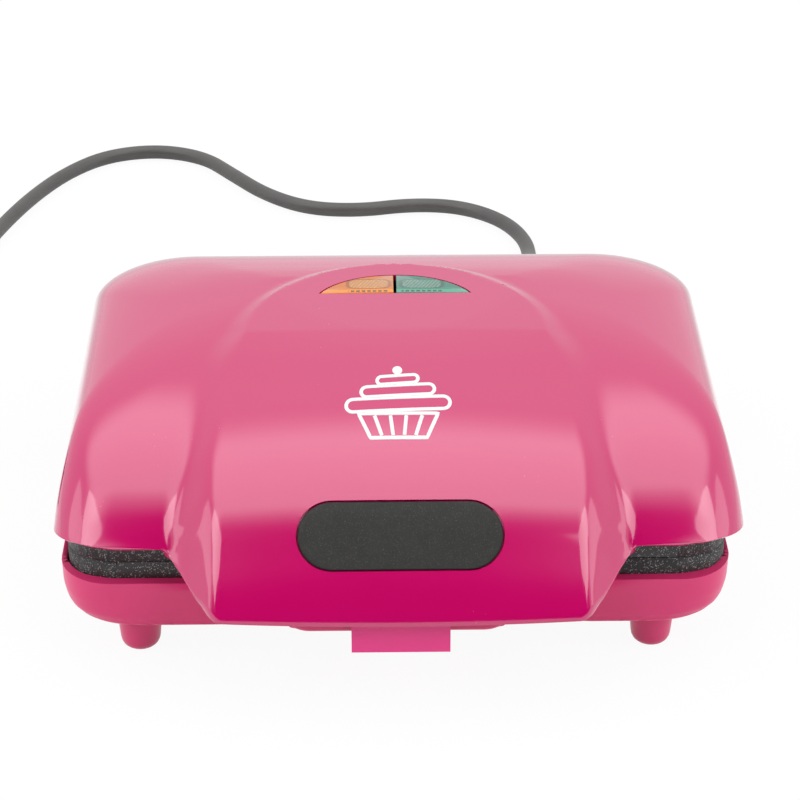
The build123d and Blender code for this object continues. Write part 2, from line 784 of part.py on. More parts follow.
def base_cover():
    """Tray with a floor, a flange round the plate, a front shelf, ears and bosses."""
    tray = base_form(0) + base_handle()
    room = base_form(BASE_WALL)
    ceiling = BASE_TOP_Z - BASE_FLANGE
    lid_on_room = Pos(0, RIM_DEPTH / 2, ceiling + DEEP / 2) * Box(RIM_WIDTH, 2 * RIM_DEPTH, DEEP)
    tray = tray - (room - lid_on_room)
    half = RIM_WIDTH / 2 - PLATE_STEP + SEAT_GAP
    opening = outline(
        ceiling - 1,
        half,
        PLATE_STEP - SEAT_GAP,
        RIM_DEPTH - PLATE_STEP + SEAT_GAP,
        RIM_FRONT_RADIUS - PLATE_STEP + 4 + SEAT_GAP,
        RIM_REAR_RADIUS - PLATE_STEP + 4 + SEAT_GAP,
    )
    tray = tray - prism(opening, DEEP)
    plate_low = PARTING_Z - PLATE_SKIRT
    floor = BASE_BOTTOM_Z + BASE_WALL
    for x, y in SCREW_PLACES:
        boss = disc(BOSS_DIAMETER, x, y, floor - 0.5, plate_low)
        head = disc(
            SCREW_HEAD_DIAMETER + 2 * SEAT_GAP, x, y, BASE_BOTTOM_Z - 1,
            BASE_BOTTOM_Z + SCREW_HEAD_HEIGHT + SEAT_GAP,
        )
        bore = disc(SCREW_DIAMETER + 2 * SEAT_GAP, x, y, BASE_BOTTOM_Z, plate_low + 1)
        tray = tray + boss - head - bore
    for x, y in foot_places():
        tray = tray - disc(SPIGOT_DIAMETER, x, y, BASE_BOTTOM_Z - 1, floor + 1)
    for side in (-1, 1):
        for step in (-1, 1):
            offset = (LID_EAR_WIDTH + BASE_EAR_WIDTH) / 2 + EAR_GAP
            x = side * HINGE_X + step * offset
            tray = tray + ear(BASE_EAR_WIDTH, EAR_RADIUS, x, base_ear_root(EAR_RADIUS))
    tray = tray - hinge_pin(-1) - hinge_pin(1)
    lead_x = SLEEVE_X + (SLEEVE_WIDTH + LEAD_EAR_WIDTH) / 2 + EAR_GAP
    tray = tray + ear(LEAD_EAR_WIDTH, SLEEVE_RADIUS - 1, lead_x, base_ear_root(SLEEVE_RADIUS - 1))
    tray = tray - link_lead(SEAT_GAP / 2)
    gland = Pos(CORD_X, RIM_DEPTH - BASE_SIDE_STEP, CORD_Z) * Cylinder(
        RELIEF_DIAMETER / 2 - 1.5 + SEAT_GAP, 12, rotation=(90, 0, 0)
    )
    return tray - gland


def foot_places():
    """Places of the four feet."""
    places = []
    for y in (FOOT_FRONT_Y, FOOT_REAR_Y):
        for side in (-1, 1):
            places.append((side * FOOT_X, y))
    return places


def foot():
    """Tapered foot with a rounded sole and a spigot for the tray's floor."""
    low = FOOT_BOTTOM_DIAMETER / 2
    high = FOOT_TOP_DIAMETER / 2
    section = Polyline((0, 0), (low, 0), (high, BASE_BOTTOM_Z), (0, BASE_BOTTOM_Z), close=True)
    face = Face(section.wire())
    sole = face.vertices().sort_by(lambda v: abs(v.X - low) + abs(v.Y))[0]
    body = revolve(Plane.XZ * fillet(sole, FOOT_ROUNDING), Axis.Z, 360)
    spigot = disc(SPIGOT_DIAMETER, 0, 0, BASE_BOTTOM_Z - 0.5, BASE_BOTTOM_Z + BASE_WALL)
    return body + spigot


def hinge_pin(side):
    """Steel pin through one set of hinge ears."""
    reach = LID_EAR_WIDTH / 2 + EAR_GAP + BASE_EAR_WIDTH
    return bar_along_x(
        PIN_DIAMETER, side * HINGE_X - reach, side * HINGE_X + reach, HINGE_Y, HINGE_Z
    )


def link_lead(gap):
    """Lead that crosses from the base to the lid along the hinge line."""
    x_to = SLEEVE_X + SLEEVE_WIDTH / 2 + EAR_GAP + LEAD_EAR_WIDTH
    return bar_along_x(
        LEAD_DIAMETER + 2 * gap, SLEEVE_X - SLEEVE_WIDTH / 2 + 1, x_to, HINGE_Y, HINGE_Z
    )


def element(z):
    """Bent tubular heater: an open loop with both cold ends at the rear."""
    rear = ELEMENT_REAR_Y
    path = FilletPolyline(
        (ELEMENT_LEG_X, ELEMENT_LEG_REAR_Y, z),
        (ELEMENT_LEG_X, rear, z),
        (ELEMENT_HALF_WIDTH, rear, z),
        (ELEMENT_HALF_WIDTH, ELEMENT_FRONT_Y, z),
        (-ELEMENT_HALF_WIDTH, ELEMENT_FRONT_Y, z),
        (-ELEMENT_HALF_WIDTH, rear, z),
        (-ELEMENT_LEG_X, rear, z),
        (-ELEMENT_LEG_X, ELEMENT_LEG_REAR_Y, z),
        radius=[9, ELEMENT_CORNER, ELEMENT_CORNER, ELEMENT_CORNER, ELEMENT_CORNER, 9],
    )
    ring = Plane(origin=path @ 0, z_dir=path % 0) * Circle(ELEMENT_DIAMETER / 2)
    return sweep(ring, path=path)


def lower_element_z():
    """Centre of the lower heater, just under the cups."""
    cup_underside = PARTING_Z - LOWER_CUP_DEPTH - CUP_WALL
    return cup_underside - SEAT_GAP - ELEMENT_DIAMETER / 2


def upper_element_z():
    """Centre of the upper heater, just over the cups."""
    cup_top = PARTING_Z + PARTING_GAP + UPPER_CUP_DEPTH + CUP_WALL
    return cup_top + SEAT_GAP + ELEMENT_DIAMETER / 2


def reflector(z, rim_up):
    """Bright sheet behind a heater, with a folded edge."""
    half = RIM_WIDTH / 2 - REFLECTOR_STEP - 12
    sizes = (half, REFLECTOR_STEP + 14, RIM_DEPTH - REFLECTOR_STEP - 18, 22, 30)
    sheet = prism(outline(z, *sizes), REFLECTOR_SHEET)
    inner = (
        half - REFLECTOR_SHEET,
        sizes[1] + REFLECTOR_SHEET,
        sizes[2] - REFLECTOR_SHEET,
        22 - REFLECTOR_SHEET,
        30 - REFLECTOR_SHEET,
    )
    fold = 4.0
    low = z if rim_up else z - fold + REFLECTOR_SHEET
    wall = prism(outline(low, *sizes), fold) - prism(outline(low, *inner), fold)
    sheet = sheet + wall
    for x, y in SCREW_PLACES:
        sheet = sheet - disc(BOSS_DIAMETER + 2, x, y, z - 10, z + 10)
    return sheet


def thermostat(z_from):
    """Round bimetal thermostat with two tabs."""
    x, y = THERMOSTAT_PLACE
    can = disc(THERMOSTAT_DIAMETER, x, y, z_from, z_from + THERMOSTAT_HEIGHT)
    for side in (-1, 1):
        can = can + Pos(x + side * 10, y, z_from + 2) * Box(6, 5, 0.8)
    return can


def thermal_fuse(z_from):
    """Small sleeved fuse on the plate's underside."""
    x, y = FUSE_PLACE
    z = z_from + FUSE_DIAMETER / 2
    return bar_along_x(FUSE_DIAMETER, x - FUSE_LENGTH / 2, x + FUSE_LENGTH / 2, y, z)


def terminal_block():
    """Moulded block that joins the mains cord to the inner leads."""
    x, y = BLOCK_PLACE
    long, deep, high = BLOCK_SIZE
    z = BASE_BOTTOM_Z + BASE_WALL + high / 2
    block = Pos(x, y, z) * Box(long, deep, high)
    for step in (-1, 0, 1):
        block = block - disc(3.2, x + step * long * 0.3, y, z, z + high)
    return block


def screws(head_z, point_z):
    """Set of equal screws, one for each boss."""
    group = []
    up = 1 if point_z > head_z else -1
    for x, y in SCREW_PLACES:
        top = head_z + up * SCREW_HEAD_HEIGHT
        head = disc(SCREW_HEAD_DIAMETER, x, y, min(head_z, top), max(head_z, top))
        shank = disc(SCREW_DIAMETER, x, y, min(head_z, point_z), max(head_z, point_z))
        slot = Pos(x, y, head_z) * Box(SCREW_HEAD_DIAMETER * 0.8, 0.9, 1.4)
        group.append(head + shank - slot)
    return Compound(children=group)


# Cord and plug


def strain_relief():
    """Tapered rubber sleeve with grooves, where the cord leaves the tray."""
    y = RIM_DEPTH - BASE_SIDE_STEP
    inside = 5.0
    stem = RELIEF_DIAMETER / 2 - 1.5
    nose = CORD_DIAMETER / 2 + 0.9
    root = RELIEF_DIAMETER / 2
    section = Polyline(
        (0, -inside), (stem, -inside), (stem, 0.3), (root, 0.3), (root, RELIEF_NOSE),
        (nose, RELIEF_LENGTH), (0, RELIEF_LENGTH), close=True,
    )
    body = revolve(Face(section.wire()), Axis.Y, 360)
    for index in range(5):
        place = RELIEF_NOSE + 3.5 + index * 4.6
        slope = (root - nose) * (place - RELIEF_NOSE) / (RELIEF_LENGTH - RELIEF_NOSE)
        radius = root - slope
        groove = Cylinder(radius + 1, 1.8, rotation=(90, 0, 0))
        groove = groove - Cylinder(radius - 0.9, 1.8, rotation=(90, 0, 0))
        body = body - Pos(0, place, 0) * groove
    return Pos(CORD_X, y, CORD_Z) * body


def cord_points():
    """Route of the cord with its first point on the sleeve, in modelling coordinates."""
    points = [Vector(x, y + MIDDLE_Y, z) for x, y, z in CORD_ROUTE]
    points[0] = Vector(CORD_X, RIM_DEPTH - BASE_SIDE_STEP + RELIEF_LENGTH, CORD_Z)
    return points


def cord():
    """Free cord: straight runs joined by arcs as large as the runs allow."""
    points = cord_points()
    radii = []
    for before, at, after in zip(points, points[1:], points[2:]):
        run_in = at - before
        run_out = after - at
        turn = radians(run_in.get_angle(run_out))
        radii.append(0.45 * min(run_in.length, run_out.length) / tan(turn / 2))
    path = FilletPolyline(*points, radius=radii)
    ring = Plane(origin=path @ 0, z_dir=path % 0) * Circle(CORD_DIAMETER / 2)
    tube = sweep(ring, path=path)
    expected = pi * CORD_DIAMETER**2 / 4 * path.length
    print(f"cord length {path.length:.1f}, volume share {tube.volume / expected:.4f}")
    print("cord radii", [round(radius, 1) for radius in radii])
    print("cord runs", [round((b - a).length, 1) for a, b in zip(points, points[1:])])
    return tube


def plug_place():
    """Place and direction of the plug at the end of the cord."""
    points = cord_points()
    last = points[-1]
    along = (last - points[-2]).normalized()
    return Plane(origin=last, z_dir=along, x_dir=(along.Y, -along.X, 0))


def plug():
    """Round earthed plug with a tapered neck, a waist and two side grooves."""
    radius = PLUG_DIAMETER / 2
    neck = CORD_DIAMETER / 2 + 1.4
    start = PLUG_NECK_LENGTH
    end = PLUG_NECK_LENGTH + PLUG_LENGTH
    side = Spline(
        (neck + 1.8, start), (radius * 0.74, start + 7), (radius * 0.93, start + 17),
        tangents=[(0.75, 1), (0.1, 1)],
    )
    section = Wire([
        Line((0, 0), (neck, 0)),
        Line((neck, 0), (neck + 1.8, start)),
        side,
        Line((radius * 0.93, start + 17), (radius, start + 20)),
        Line((radius, start + 20), (radius, end - 1)),
        Line((radius, end - 1), (radius - 1, end)),
        Line((radius - 1, end), (0, end)),
        Line((0, end), (0, 0)),
    ])
    body = revolve(Plane.XZ * Face(section), Axis.Z, 360)
    for turn in (0, 180):
        groove = Pos(0, radius, end - 8) * Box(9, 5, 18)
        body = body - Rot(0, 0, turn) * groove
    for step in (-1, 1):
        body = body - Pos(step * PLUG_PIN_SPACING / 2, 0, end - 4) * Cylinder(
            PLUG_PIN_DIAMETER / 2, 8
        )
    return plug_place().location * body


def plug_pins():
    """Two round contact pins, seated in the plug."""
    end = PLUG_NECK_LENGTH + PLUG_LENGTH
    pins = []
    for step in (-1, 1):
        pin = Cylinder(
            PLUG_PIN_DIAMETER / 2, PLUG_PIN_LENGTH + 8, align=(Align.CENTER, Align.CENTER, Align.MIN)
        )
        pin = fillet(pin.edges().filter_by(GeomType.CIRCLE).sort_by(Axis.Z)[-1], 1.6)
        pins.append(plug_place().location * Pos(step * PLUG_PIN_SPACING / 2, 0, end - 8) * pin)
    return Compound(children=pins)


def write(name, shape):
    """Write one piece in the cooker's own frame."""
    export_step(Pos(0, -MIDDLE_Y, 0) * shape, f"parts/{name}.step")


def main():
    """Make every piece and write it."""
    os.makedirs("parts", exist_ok=True)
    lower_flange = PARTING_Z - PLATE_FLANGE
    skirt_top = PARTING_Z + PARTING_GAP + PLATE_SKIRT
    pieces = {
        "lid_cover": lid_cover(),
        "upper_plate": cooking_plate(True),
        "upper_heating_element": element(upper_element_z()),
        "upper_reflector": reflector(upper_element_z() + ELEMENT_DIAMETER / 2 + SEAT_GAP, False),
        "lid_screws": screws(PARTING_Z + PARTING_GAP, skirt_top + SCREW_REACH),
        "amber_lens": window_lens(-1),
        "green_lens": window_lens(1),
        "lamp_carrier": lamp_carrier(),
        "amber_lamp": lamp(-1),
        "green_lamp": lamp(1),
        "grip_pad": grip_pad(),
        "handle_liner": handle_liner(),
        "link_sleeve": link_sleeve(),
        "latch_pin": latch_pin_bar(0),
        "latch_clip": latch_clip(),
        "base_cover": base_cover(),
        "lower_plate": cooking_plate(False),
        "lower_heating_element": element(lower_element_z()),
        "lower_reflector": reflector(BASE_BOTTOM_Z + BASE_WALL, True),
        "base_screws": screws(BASE_BOTTOM_Z, PARTING_Z - PLATE_FLANGE - SCREW_TIP_GAP),
        "thermostat": thermostat(lower_flange - SEAT_GAP - THERMOSTAT_HEIGHT),
        "thermal_fuse": thermal_fuse(lower_flange - SEAT_GAP - FUSE_DIAMETER),
        "terminal_block": terminal_block(),
        "hinge_pin_left": hinge_pin(-1),
        "hinge_pin_right": hinge_pin(1),
        "link_lead": link_lead(0),
        "strain_relief": strain_relief(),
        "cord": cord(),
        "plug": plug(),
        "plug_pins": plug_pins(),
    }
    names = ("foot_front_left", "foot_front_right", "foot_rear_left", "foot_rear_right")
    for name, (x, y) in zip(names, foot_places()):
        pieces[name] = Pos(x, y, 0) * foot()
    for name, shape in pieces.items():
        write(name, shape)


if __name__ == "__main__":
    main()
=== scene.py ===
"""Looks of a mini layer cake maker: a glossy domed lid over two baking plates, on a tray with feet.

Sizes are in millimetres in the maker's own drawing frame, with Y = 0 at the front line of the
lid's rim. Lid and tray share that frame, and place() turns it into metres in the fixed frame.
"""

import logging
from dataclasses import dataclass, field
from enum import Enum, IntEnum
from math import cos, pi, radians, sin, tan
from typing import Callable, Dict, List, Sequence, Tuple, Union

import bmesh
import bpy
import numpy as np
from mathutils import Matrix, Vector


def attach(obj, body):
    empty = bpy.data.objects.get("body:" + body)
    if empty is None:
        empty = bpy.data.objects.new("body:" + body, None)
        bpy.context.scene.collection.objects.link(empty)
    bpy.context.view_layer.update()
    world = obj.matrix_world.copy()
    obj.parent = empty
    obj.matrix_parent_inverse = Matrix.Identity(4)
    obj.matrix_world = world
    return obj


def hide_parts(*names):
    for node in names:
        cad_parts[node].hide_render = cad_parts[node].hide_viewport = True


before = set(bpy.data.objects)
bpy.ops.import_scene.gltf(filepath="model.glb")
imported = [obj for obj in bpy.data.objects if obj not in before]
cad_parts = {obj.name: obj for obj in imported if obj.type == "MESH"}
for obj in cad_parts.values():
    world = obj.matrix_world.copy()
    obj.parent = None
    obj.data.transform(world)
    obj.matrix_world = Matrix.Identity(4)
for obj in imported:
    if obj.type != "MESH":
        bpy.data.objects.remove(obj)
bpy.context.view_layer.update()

log = logging.getLogger("cake_maker")
logging.basicConfig(level=logging.INFO, format="%(name)s: %(message)s")

Array = np.ndarray
Piece = bpy.types.Object
Pair = Tuple[float, float]
Pairs = Tuple[Pair, ...]
Triple = Tuple[float, float, float]
Triples = Tuple[Triple, ...]
Table = Tuple[Tuple[float, ...], ...]
Colour = Triple

MM = 0.001
# Distance from the drawing frame's Y = 0 to the middle of the cooker
MIDDLE_Y = 105.0


def place(points: Array) -> Array:
    """Turn drawing millimetres into metres in the fixed frame.

    Args:
        points: array whose last axis holds x, y, z.

    Returns:
        The same points, moved so that y = 0 is the cooker's middle.
    """
    return (np.asarray(points, float) - (0.0, MIDDLE_Y, 0.0)) * MM


# Shader arithmetic


class Socket:
    """Output of a shader node that takes part in arithmetic."""

    def __init__(self, recipe: "Recipe", output: bpy.types.NodeSocket) -> None:
        """Remember the recipe that owns the output."""
        self.recipe = recipe
        self.output = output

    def _math(self, operation: str, *values: "Value") -> "Socket":
        """Add one Math node and return its result."""
        return self.recipe.node("ShaderNodeMath", {"operation": operation}, dict(enumerate(values)))

    def __add__(self, other: "Value") -> "Socket":
        """Sum of two values."""
        return self._math("ADD", self, other)

    def __radd__(self, other: "Value") -> "Socket":
        """Sum with a number on the left."""
        return self._math("ADD", other, self)

    def __sub__(self, other: "Value") -> "Socket":
        """Difference of two values."""
        return self._math("SUBTRACT", self, other)

    def __rsub__(self, other: "Value") -> "Socket":
        """Difference with a number on the left."""
        return self._math("SUBTRACT", other, self)

    def __mul__(self, other: "Value") -> "Socket":
        """Product of two values."""
        return self._math("MULTIPLY", self, other)

    def __rmul__(self, other: "Value") -> "Socket":
        """Product with a number on the left."""
        return self._math("MULTIPLY", other, self)

    def __truediv__(self, other: "Value") -> "Socket":
        """Quotient of two values."""
        return self._math("DIVIDE", self, other)

    def __abs__(self) -> "Socket":
        """Size without its sign."""
        return self._math("ABSOLUTE", self)

    def sine(self) -> "Socket":
        """Sine of an angle in radians."""
        return self._math("SINE", self)

    def step(self, low: float, high: float) -> "Socket":
        """Smooth rise from 0 at low to 1 at high."""
        return self.recipe.node(
            "ShaderNodeMapRange",
            {"interpolation_type": "SMOOTHSTEP", "clamp": True},
            {"Value": self, "From Min": low, "From Max": high, "To Min": 0.0, "To Max": 1.0},
        )


Value = Union[Socket, float, Sequence[float]]


class Recipe:
    """One node tree, of a material or of the world, filled by short calls."""

    def __init__(self, owner: Union[bpy.types.Material, bpy.types.World], shader: str) -> None:
        """Start an empty tree with one surface shader and its output."""
        owner.use_nodes = True
        self.tree = owner.node_tree
        self.tree.nodes.clear()
        kind = "World" if isinstance(owner, bpy.types.World) else "Material"
        self.output = self.tree.nodes.new("ShaderNodeOutput" + kind)
        self.shader = self.tree.nodes.new(shader)
        self.tree.links.new(self.shader.outputs[0], self.output.inputs["Surface"])

    def feed(self, socket: bpy.types.NodeSocket, value: Value) -> None:
        """Link a value to a socket, or set it there when it is a constant."""
        if isinstance(value, Socket):
            self.tree.links.new(value.output, socket)
            return
        if isinstance(value, (tuple, list)) and socket.type == "RGBA" and len(value) == 3:
            value = (*value, 1.0)
        socket.default_value = value

    def node(
        self,
        kind: str,
        settings: Dict[str, object],
        inputs: Dict[Union[int, str], Value],
        output: Union[int, str] = 0,
    ) -> Socket:
        """Add a node.

        Args:
            kind: the node's type.
            settings: attributes that are set first.
            inputs: values or links by socket name or index.
            output: name or index of the output that is wanted.

        Returns:
            The chosen output as a Socket.
        """
        made = self.tree.nodes.new(kind)
        for key, value in settings.items():
            setattr(made, key, value)
        for key, value in inputs.items():
            self.feed(made.inputs[key], value)
        return Socket(self, made.outputs[output])

    def place(self) -> Socket:
        """Object coordinates, which are metres in the fixed frame."""
        return self.node("ShaderNodeTexCoord", {}, {}, "Object")

    def axes(self) -> Tuple[Socket, Socket, Socket]:
        """The three object coordinates as numbers."""
        split = self.tree.nodes.new("ShaderNodeSeparateXYZ")
        self.feed(split.inputs[0], self.place())
        return tuple(Socket(self, output) for output in split.outputs)

    def noise(self, scale: float, detail: float = 2.0, roughness: float = 0.5) -> Socket:
        """Smooth noise from 0 to 1, scale in waves per metre."""
        return self.node(
            "ShaderNodeTexNoise",
            {},
            {"Vector": self.place(), "Scale": scale, "Detail": detail, "Roughness": roughness},
            "Fac",
        )

    def specks(self, scale: float, core: float, edge: float) -> Socket:
        """1 in the cores of scattered points and 0 beyond their edges, both in cells."""
        distance = self.node(
            "ShaderNodeTexVoronoi", {}, {"Vector": self.place(), "Scale": scale}, "Distance"
        )
        return 1.0 - distance.step(core, edge)

    def ray(self, kind: str) -> Socket:
        """1 for rays of a kind, by the name of the Light Path node's output."""
        return self.node("ShaderNodeLightPath", {}, {}, kind)

    def dot(self, way: Socket, axis: Sequence[float]) -> Socket:
        """Share of a direction along an axis."""
        return self.node(
            "ShaderNodeVectorMath", {"operation": "DOT_PRODUCT"}, {0: way, 1: axis}, "Value"
        )

    def blend(self, factor: Value, first: Value, second: Value) -> Socket:
        """Mix two colours."""
        return self.node(
            "ShaderNodeMix", {"data_type": "RGBA"}, {0: factor, 6: first, 7: second}, 2
        )

    def bump(self, height: Socket, distance: float, strength: float = 1.0) -> Socket:
        """Normal from a height, its full step in metres."""
        return self.node(
            "ShaderNodeBump", {}, {"Height": height, "Distance": distance, "Strength": strength}
        )

    def set(self, **values: Value) -> None:
        """Set the surface shader's sockets; an underscore stands for a space."""
        for key, value in values.items():
            self.feed(self.shader.inputs[key.replace("_", " ")], value)


# Finishes


@dataclass(frozen=True)
class Finish:
    """Plain base of every finish: one colour with fine mottling and a soft bump."""

    title: str
    colour: Colour
    roughness: float = 0.5
    grain: float = 900.0
    grain_depth: float = 0.00002
    mottling: float = 0.06

    def tone(self, share: float) -> Colour:
        """The colour times a share, held at 1."""
        return tuple(min(1.0, channel * share) for channel in self.colour)

    def sheen(self, wander: Socket, spread: float) -> Socket:
        """Roughness that a noise from 0 to 1 spreads evenly about this finish's own."""
        return wander * spread + (self.roughness - spread / 2)

    def paint(self, recipe: Recipe) -> None:
        """Set the sockets of this finish. Mottling scales the colour by noise."""
        cloud = recipe.noise(60.0, 3.0)
        grain = recipe.noise(self.grain, 2.0)
        recipe.set(
            Base_Color=recipe.blend(cloud, self.tone(1 - self.mottling), self.tone(1 + self.mottling)),
            Roughness=self.sheen(recipe.noise(35.0), 0.08),
            Normal=recipe.bump(grain, self.grain_depth),
        )

    def material(self) -> bpy.types.Material:
        """The material of this finish, made once. No title is the name of a slot."""
        known = bpy.data.materials.get(self.title)
        if known is not None:
            return known
        made = bpy.data.materials.new(self.title)
        self.paint(Recipe(made, "ShaderNodeBsdfPrincipled"))
        return made

    def dress(self, *pieces: Piece) -> None:
        """Give pieces this finish as their only material."""
        for piece in pieces:
            piece.data.materials.clear()
            piece.data.materials.append(self.material())


@dataclass(frozen=True)
class Enamel(Finish):
    """High-gloss lacquer over a smooth shell, with a faint orange peel and dust specks."""

    peel: float = 0.000006
    # Dust: cells per metre, then the core and edge of its grains in cells
    dust: Triple = (330.0, 0.035, 0.06)
    dust_colour: Colour = (0.9, 0.45, 0.6)

    def paint(self, recipe: Recipe) -> None:
        """Deep colour under a clear coat; dust lifts the colour in rare tiny points."""
        cloud = recipe.noise(18.0, 2.0)
        dust = recipe.specks(*self.dust)
        rare = recipe.noise(24.0, 1.0).step(0.60, 0.66)
        body = recipe.blend(cloud, self.tone(0.96), self.colour)
        recipe.set(
            Base_Color=recipe.blend(dust * rare * 0.5, body, self.dust_colour),
            Roughness=self.sheen(recipe.noise(40.0), 0.05),
            Coat_Weight=1.0,
            Coat_Roughness=0.03,
            Coat_IOR=1.6,
            Normal=recipe.bump(recipe.noise(420.0, 1.0), self.peel),
        )


@dataclass(frozen=True)
class Speckled(Finish):
    """Non-stick coating: dark ground with fine pale specks and a pebbled skin."""

    speck: Colour = (0.44, 0.44, 0.42)
    density: float = 0.8
    # Specks of two sizes: cells per metre, then their core and edge in cells
    fine: Triple = (1500.0, 0.20, 0.38)
    coarse: Triple = (620.0, 0.07, 0.12)

    def paint(self, recipe: Recipe) -> None:
        """Two sizes of specks, the fine ones thinned by noise, over the dark ground."""
        fine, coarse = recipe.specks(*self.fine), recipe.specks(*self.coarse)
        thin = recipe.noise(700.0, 2.0).step(0.36, 0.52)
        mask = fine * thin * self.density + coarse * 0.5
        ground = recipe.blend(recipe.noise(45.0, 3.0), self.tone(0.8), self.colour)
        recipe.set(
            Base_Color=recipe.blend(mask, ground, self.speck),
            Roughness=self.sheen(recipe.noise(300.0), 0.2),
            Normal=recipe.bump(recipe.noise(1400.0, 2.0) + mask * 0.4, 0.00006),
        )


@dataclass(frozen=True)
class Tinted(Finish):
    """Tinted window plastic with a prismatic oval and slots along its front; painted glints on the
    prisms, painted shade round the oval, a painted highlight strip along the front and painted shade in
    the slots.
    """

    # Colours of the painted glints on the prisms, the painted highlight strip along the front and the
    # painted shade in the slots
    glow: Colour = (0.9, 0.7, 0.2)
    highlight_strip: Colour = (1.0, 0.4, 0.02)
    slot: Colour = (0.03, 0.015, 0.01)
    # The oval's middle and half lengths and the window's front, in millimetres of the fixed frame
    centre: Pair = (0.0, 0.0)
    reach: Pair = (7.8, 3.7)
    front: float = 16.5
    # From one prism and from one slot to the next, in metres
    prism_pitch: float = 0.0014
    slot_pitch: float = 0.0021
    # Where the painted highlight strip ends and the slots' painted shade starts and ends, in millimetres
    # behind the front
    highlight_strip_end: Pair = (2.7, 3.0)
    slot_start: Pair = (0.5, 0.7)
    slot_end: Pair = (1.9, 2.1)

    def behind(self, y: Socket, edge: Pair) -> Socket:
        """Smooth rise over an edge that lies behind the window's front."""
        return y.step((self.front + edge[0]) * MM, (self.front + edge[1]) * MM)

    def paint(self, recipe: Recipe) -> None:
        """Field of small prisms with painted glints and painted shade round it, over a painted highlight
        strip along the front with painted shade in its slots.

        The field is where a^4 + b^4 is under 1, with a and b the shares of its reach.
        """
        x, y, _ = recipe.axes()
        across = (x - self.centre[0] * MM) * (1 / (self.reach[0] * MM))
        along = (y - self.centre[1] * MM) * (1 / (self.reach[1] * MM))
        across_2, along_2 = across * across, along * along
        form = across_2 * across_2 + along_2 * along_2
        oval = 1.0 - form.step(0.80, 1.0)
        edge = form.step(0.7, 0.95) * (1.0 - form.step(1.3, 1.9))
        pitch = 2 * pi / self.prism_pitch
        dots = (((x + y * 0.5) * pitch).sine() * (y * pitch).sine()).step(0.0, 0.5)
        # Lighter dots in the oval, in the glow colour: painted glints on its prisms
        body = recipe.blend(oval * (dots * 0.8 + 0.1), self.colour, self.glow)
        # Darker ring round the oval: painted shade along its outline rib
        body = recipe.blend(edge * 0.55, body, self.tone(0.3))
        # Brighter, deeper-tinted strip along the front: a painted highlight
        body = recipe.blend(1.0 - self.behind(y, self.highlight_strip_end), body, self.highlight_strip)
        # Row of near-black dashes along the front: painted shade in the window's slots
        shaded_slots = (x * (2 * pi / self.slot_pitch)).sine().step(-0.6, -0.3)
        low = self.behind(y, self.slot_start)
        high = 1.0 - self.behind(y, self.slot_end)
        within = 1.0 - across_2.step(0.95, 1.05)
        body = recipe.blend(shaded_slots * low * high * within * 0.85, body, self.slot)
        recipe.set(
            Base_Color=body,
            Roughness=0.14 + oval * 0.2,
            Coat_Weight=0.5,
            Coat_Roughness=0.05,
            IOR=1.5,
            Transmission_Weight=0.15,
            Normal=recipe.bump(dots * oval, 0.00025),
        )


@dataclass(frozen=True)
class Metal(Finish):
    """Drawn or plated metal with fine lines along X."""

    lines: float = 0.00001

    def paint(self, recipe: Recipe) -> None:
        """Noise stretched along X gives the drawing lines and a slight tarnish."""
        stretched = recipe.node(
            "ShaderNodeMapping", {}, {"Vector": recipe.place(), "Scale": (60.0, 2400.0, 2400.0)}
        )
        lines = recipe.node(
            "ShaderNodeTexNoise", {}, {"Vector": stretched, "Scale": 1.0, "Detail": 2.0}, "Fac"
        )
        tarnish = recipe.noise(90.0, 3.0).step(0.35, 0.75)
        recipe.set(
            Base_Color=recipe.blend(tarnish, self.colour, self.tone(0.78)),
            Metallic=1.0,
            Roughness=self.sheen(lines, 0.16),
            Normal=recipe.bump(lines, self.lines),
        )


LID_ENAMEL = Enamel("lacquer", (0.57, 0.001, 0.124), roughness=0.20)
TRAY_PLASTIC = Finish("tray_plastic", (0.70, 0.030, 0.163), roughness=0.34, grain_depth=0.00001)
LATCH_PLASTIC = Finish("latch_satin", (0.84, 0.036, 0.250), roughness=0.30, grain_depth=0.00001)
NONSTICK = Speckled("nonstick_coating", (0.035, 0.035, 0.036), roughness=0.50)
SHEATH = Metal("sheath_metal", (0.30, 0.29, 0.27), roughness=0.50)
BRIGHT_SHEET = Metal("bright_metal", (0.80, 0.80, 0.80), roughness=0.22)
ZINC = Metal("zinc_metal", (0.62, 0.61, 0.59), roughness=0.32)
PALE = Finish("pale_satin", (0.50, 0.45, 0.41), roughness=0.45)
LAMP_GLASS = Finish("lamp_clear", (0.85, 0.60, 0.42), roughness=0.12)
GRIP = Speckled(
    "grip_rubber", (0.014, 0.0135, 0.0125), roughness=0.65, speck=(0.10, 0.10, 0.095), density=0.2
)
CORD_SKIN = Finish("cord_skin", (0.085, 0.082, 0.080), roughness=0.42, mottling=0.25)
PLUG_SKIN = Finish("plug_skin", (0.024, 0.024, 0.026), roughness=0.36, mottling=0.2)
PIN_METAL = Metal("pin_metal", (0.66, 0.63, 0.56), roughness=0.25)
EMBLEM_PAINT = Finish("emblem_paint", (0.93, 0.93, 0.93), roughness=0.35, mottling=0.02)
AMBER = Tinted(
    "amber_window",
    (0.72, 0.21, 0.035),
    glow=(0.78, 0.62, 0.30),
    highlight_strip=(0.95, 0.32, 0.01),
    centre=(-10.1, 24.0),
)
GREEN = Tinted(
    "green_window",
    (0.05, 0.24, 0.17),
    glow=(0.42, 0.55, 0.48),
    highlight_strip=(0.08, 0.42, 0.28),
    centre=(10.3, 24.0),
)


# Mesh making


class Shading(Enum):
    """How a finished mesh is shaded: the angle in degrees above which an edge stays sharp."""

    SOFT = 80.0
    CREASED = 32.0


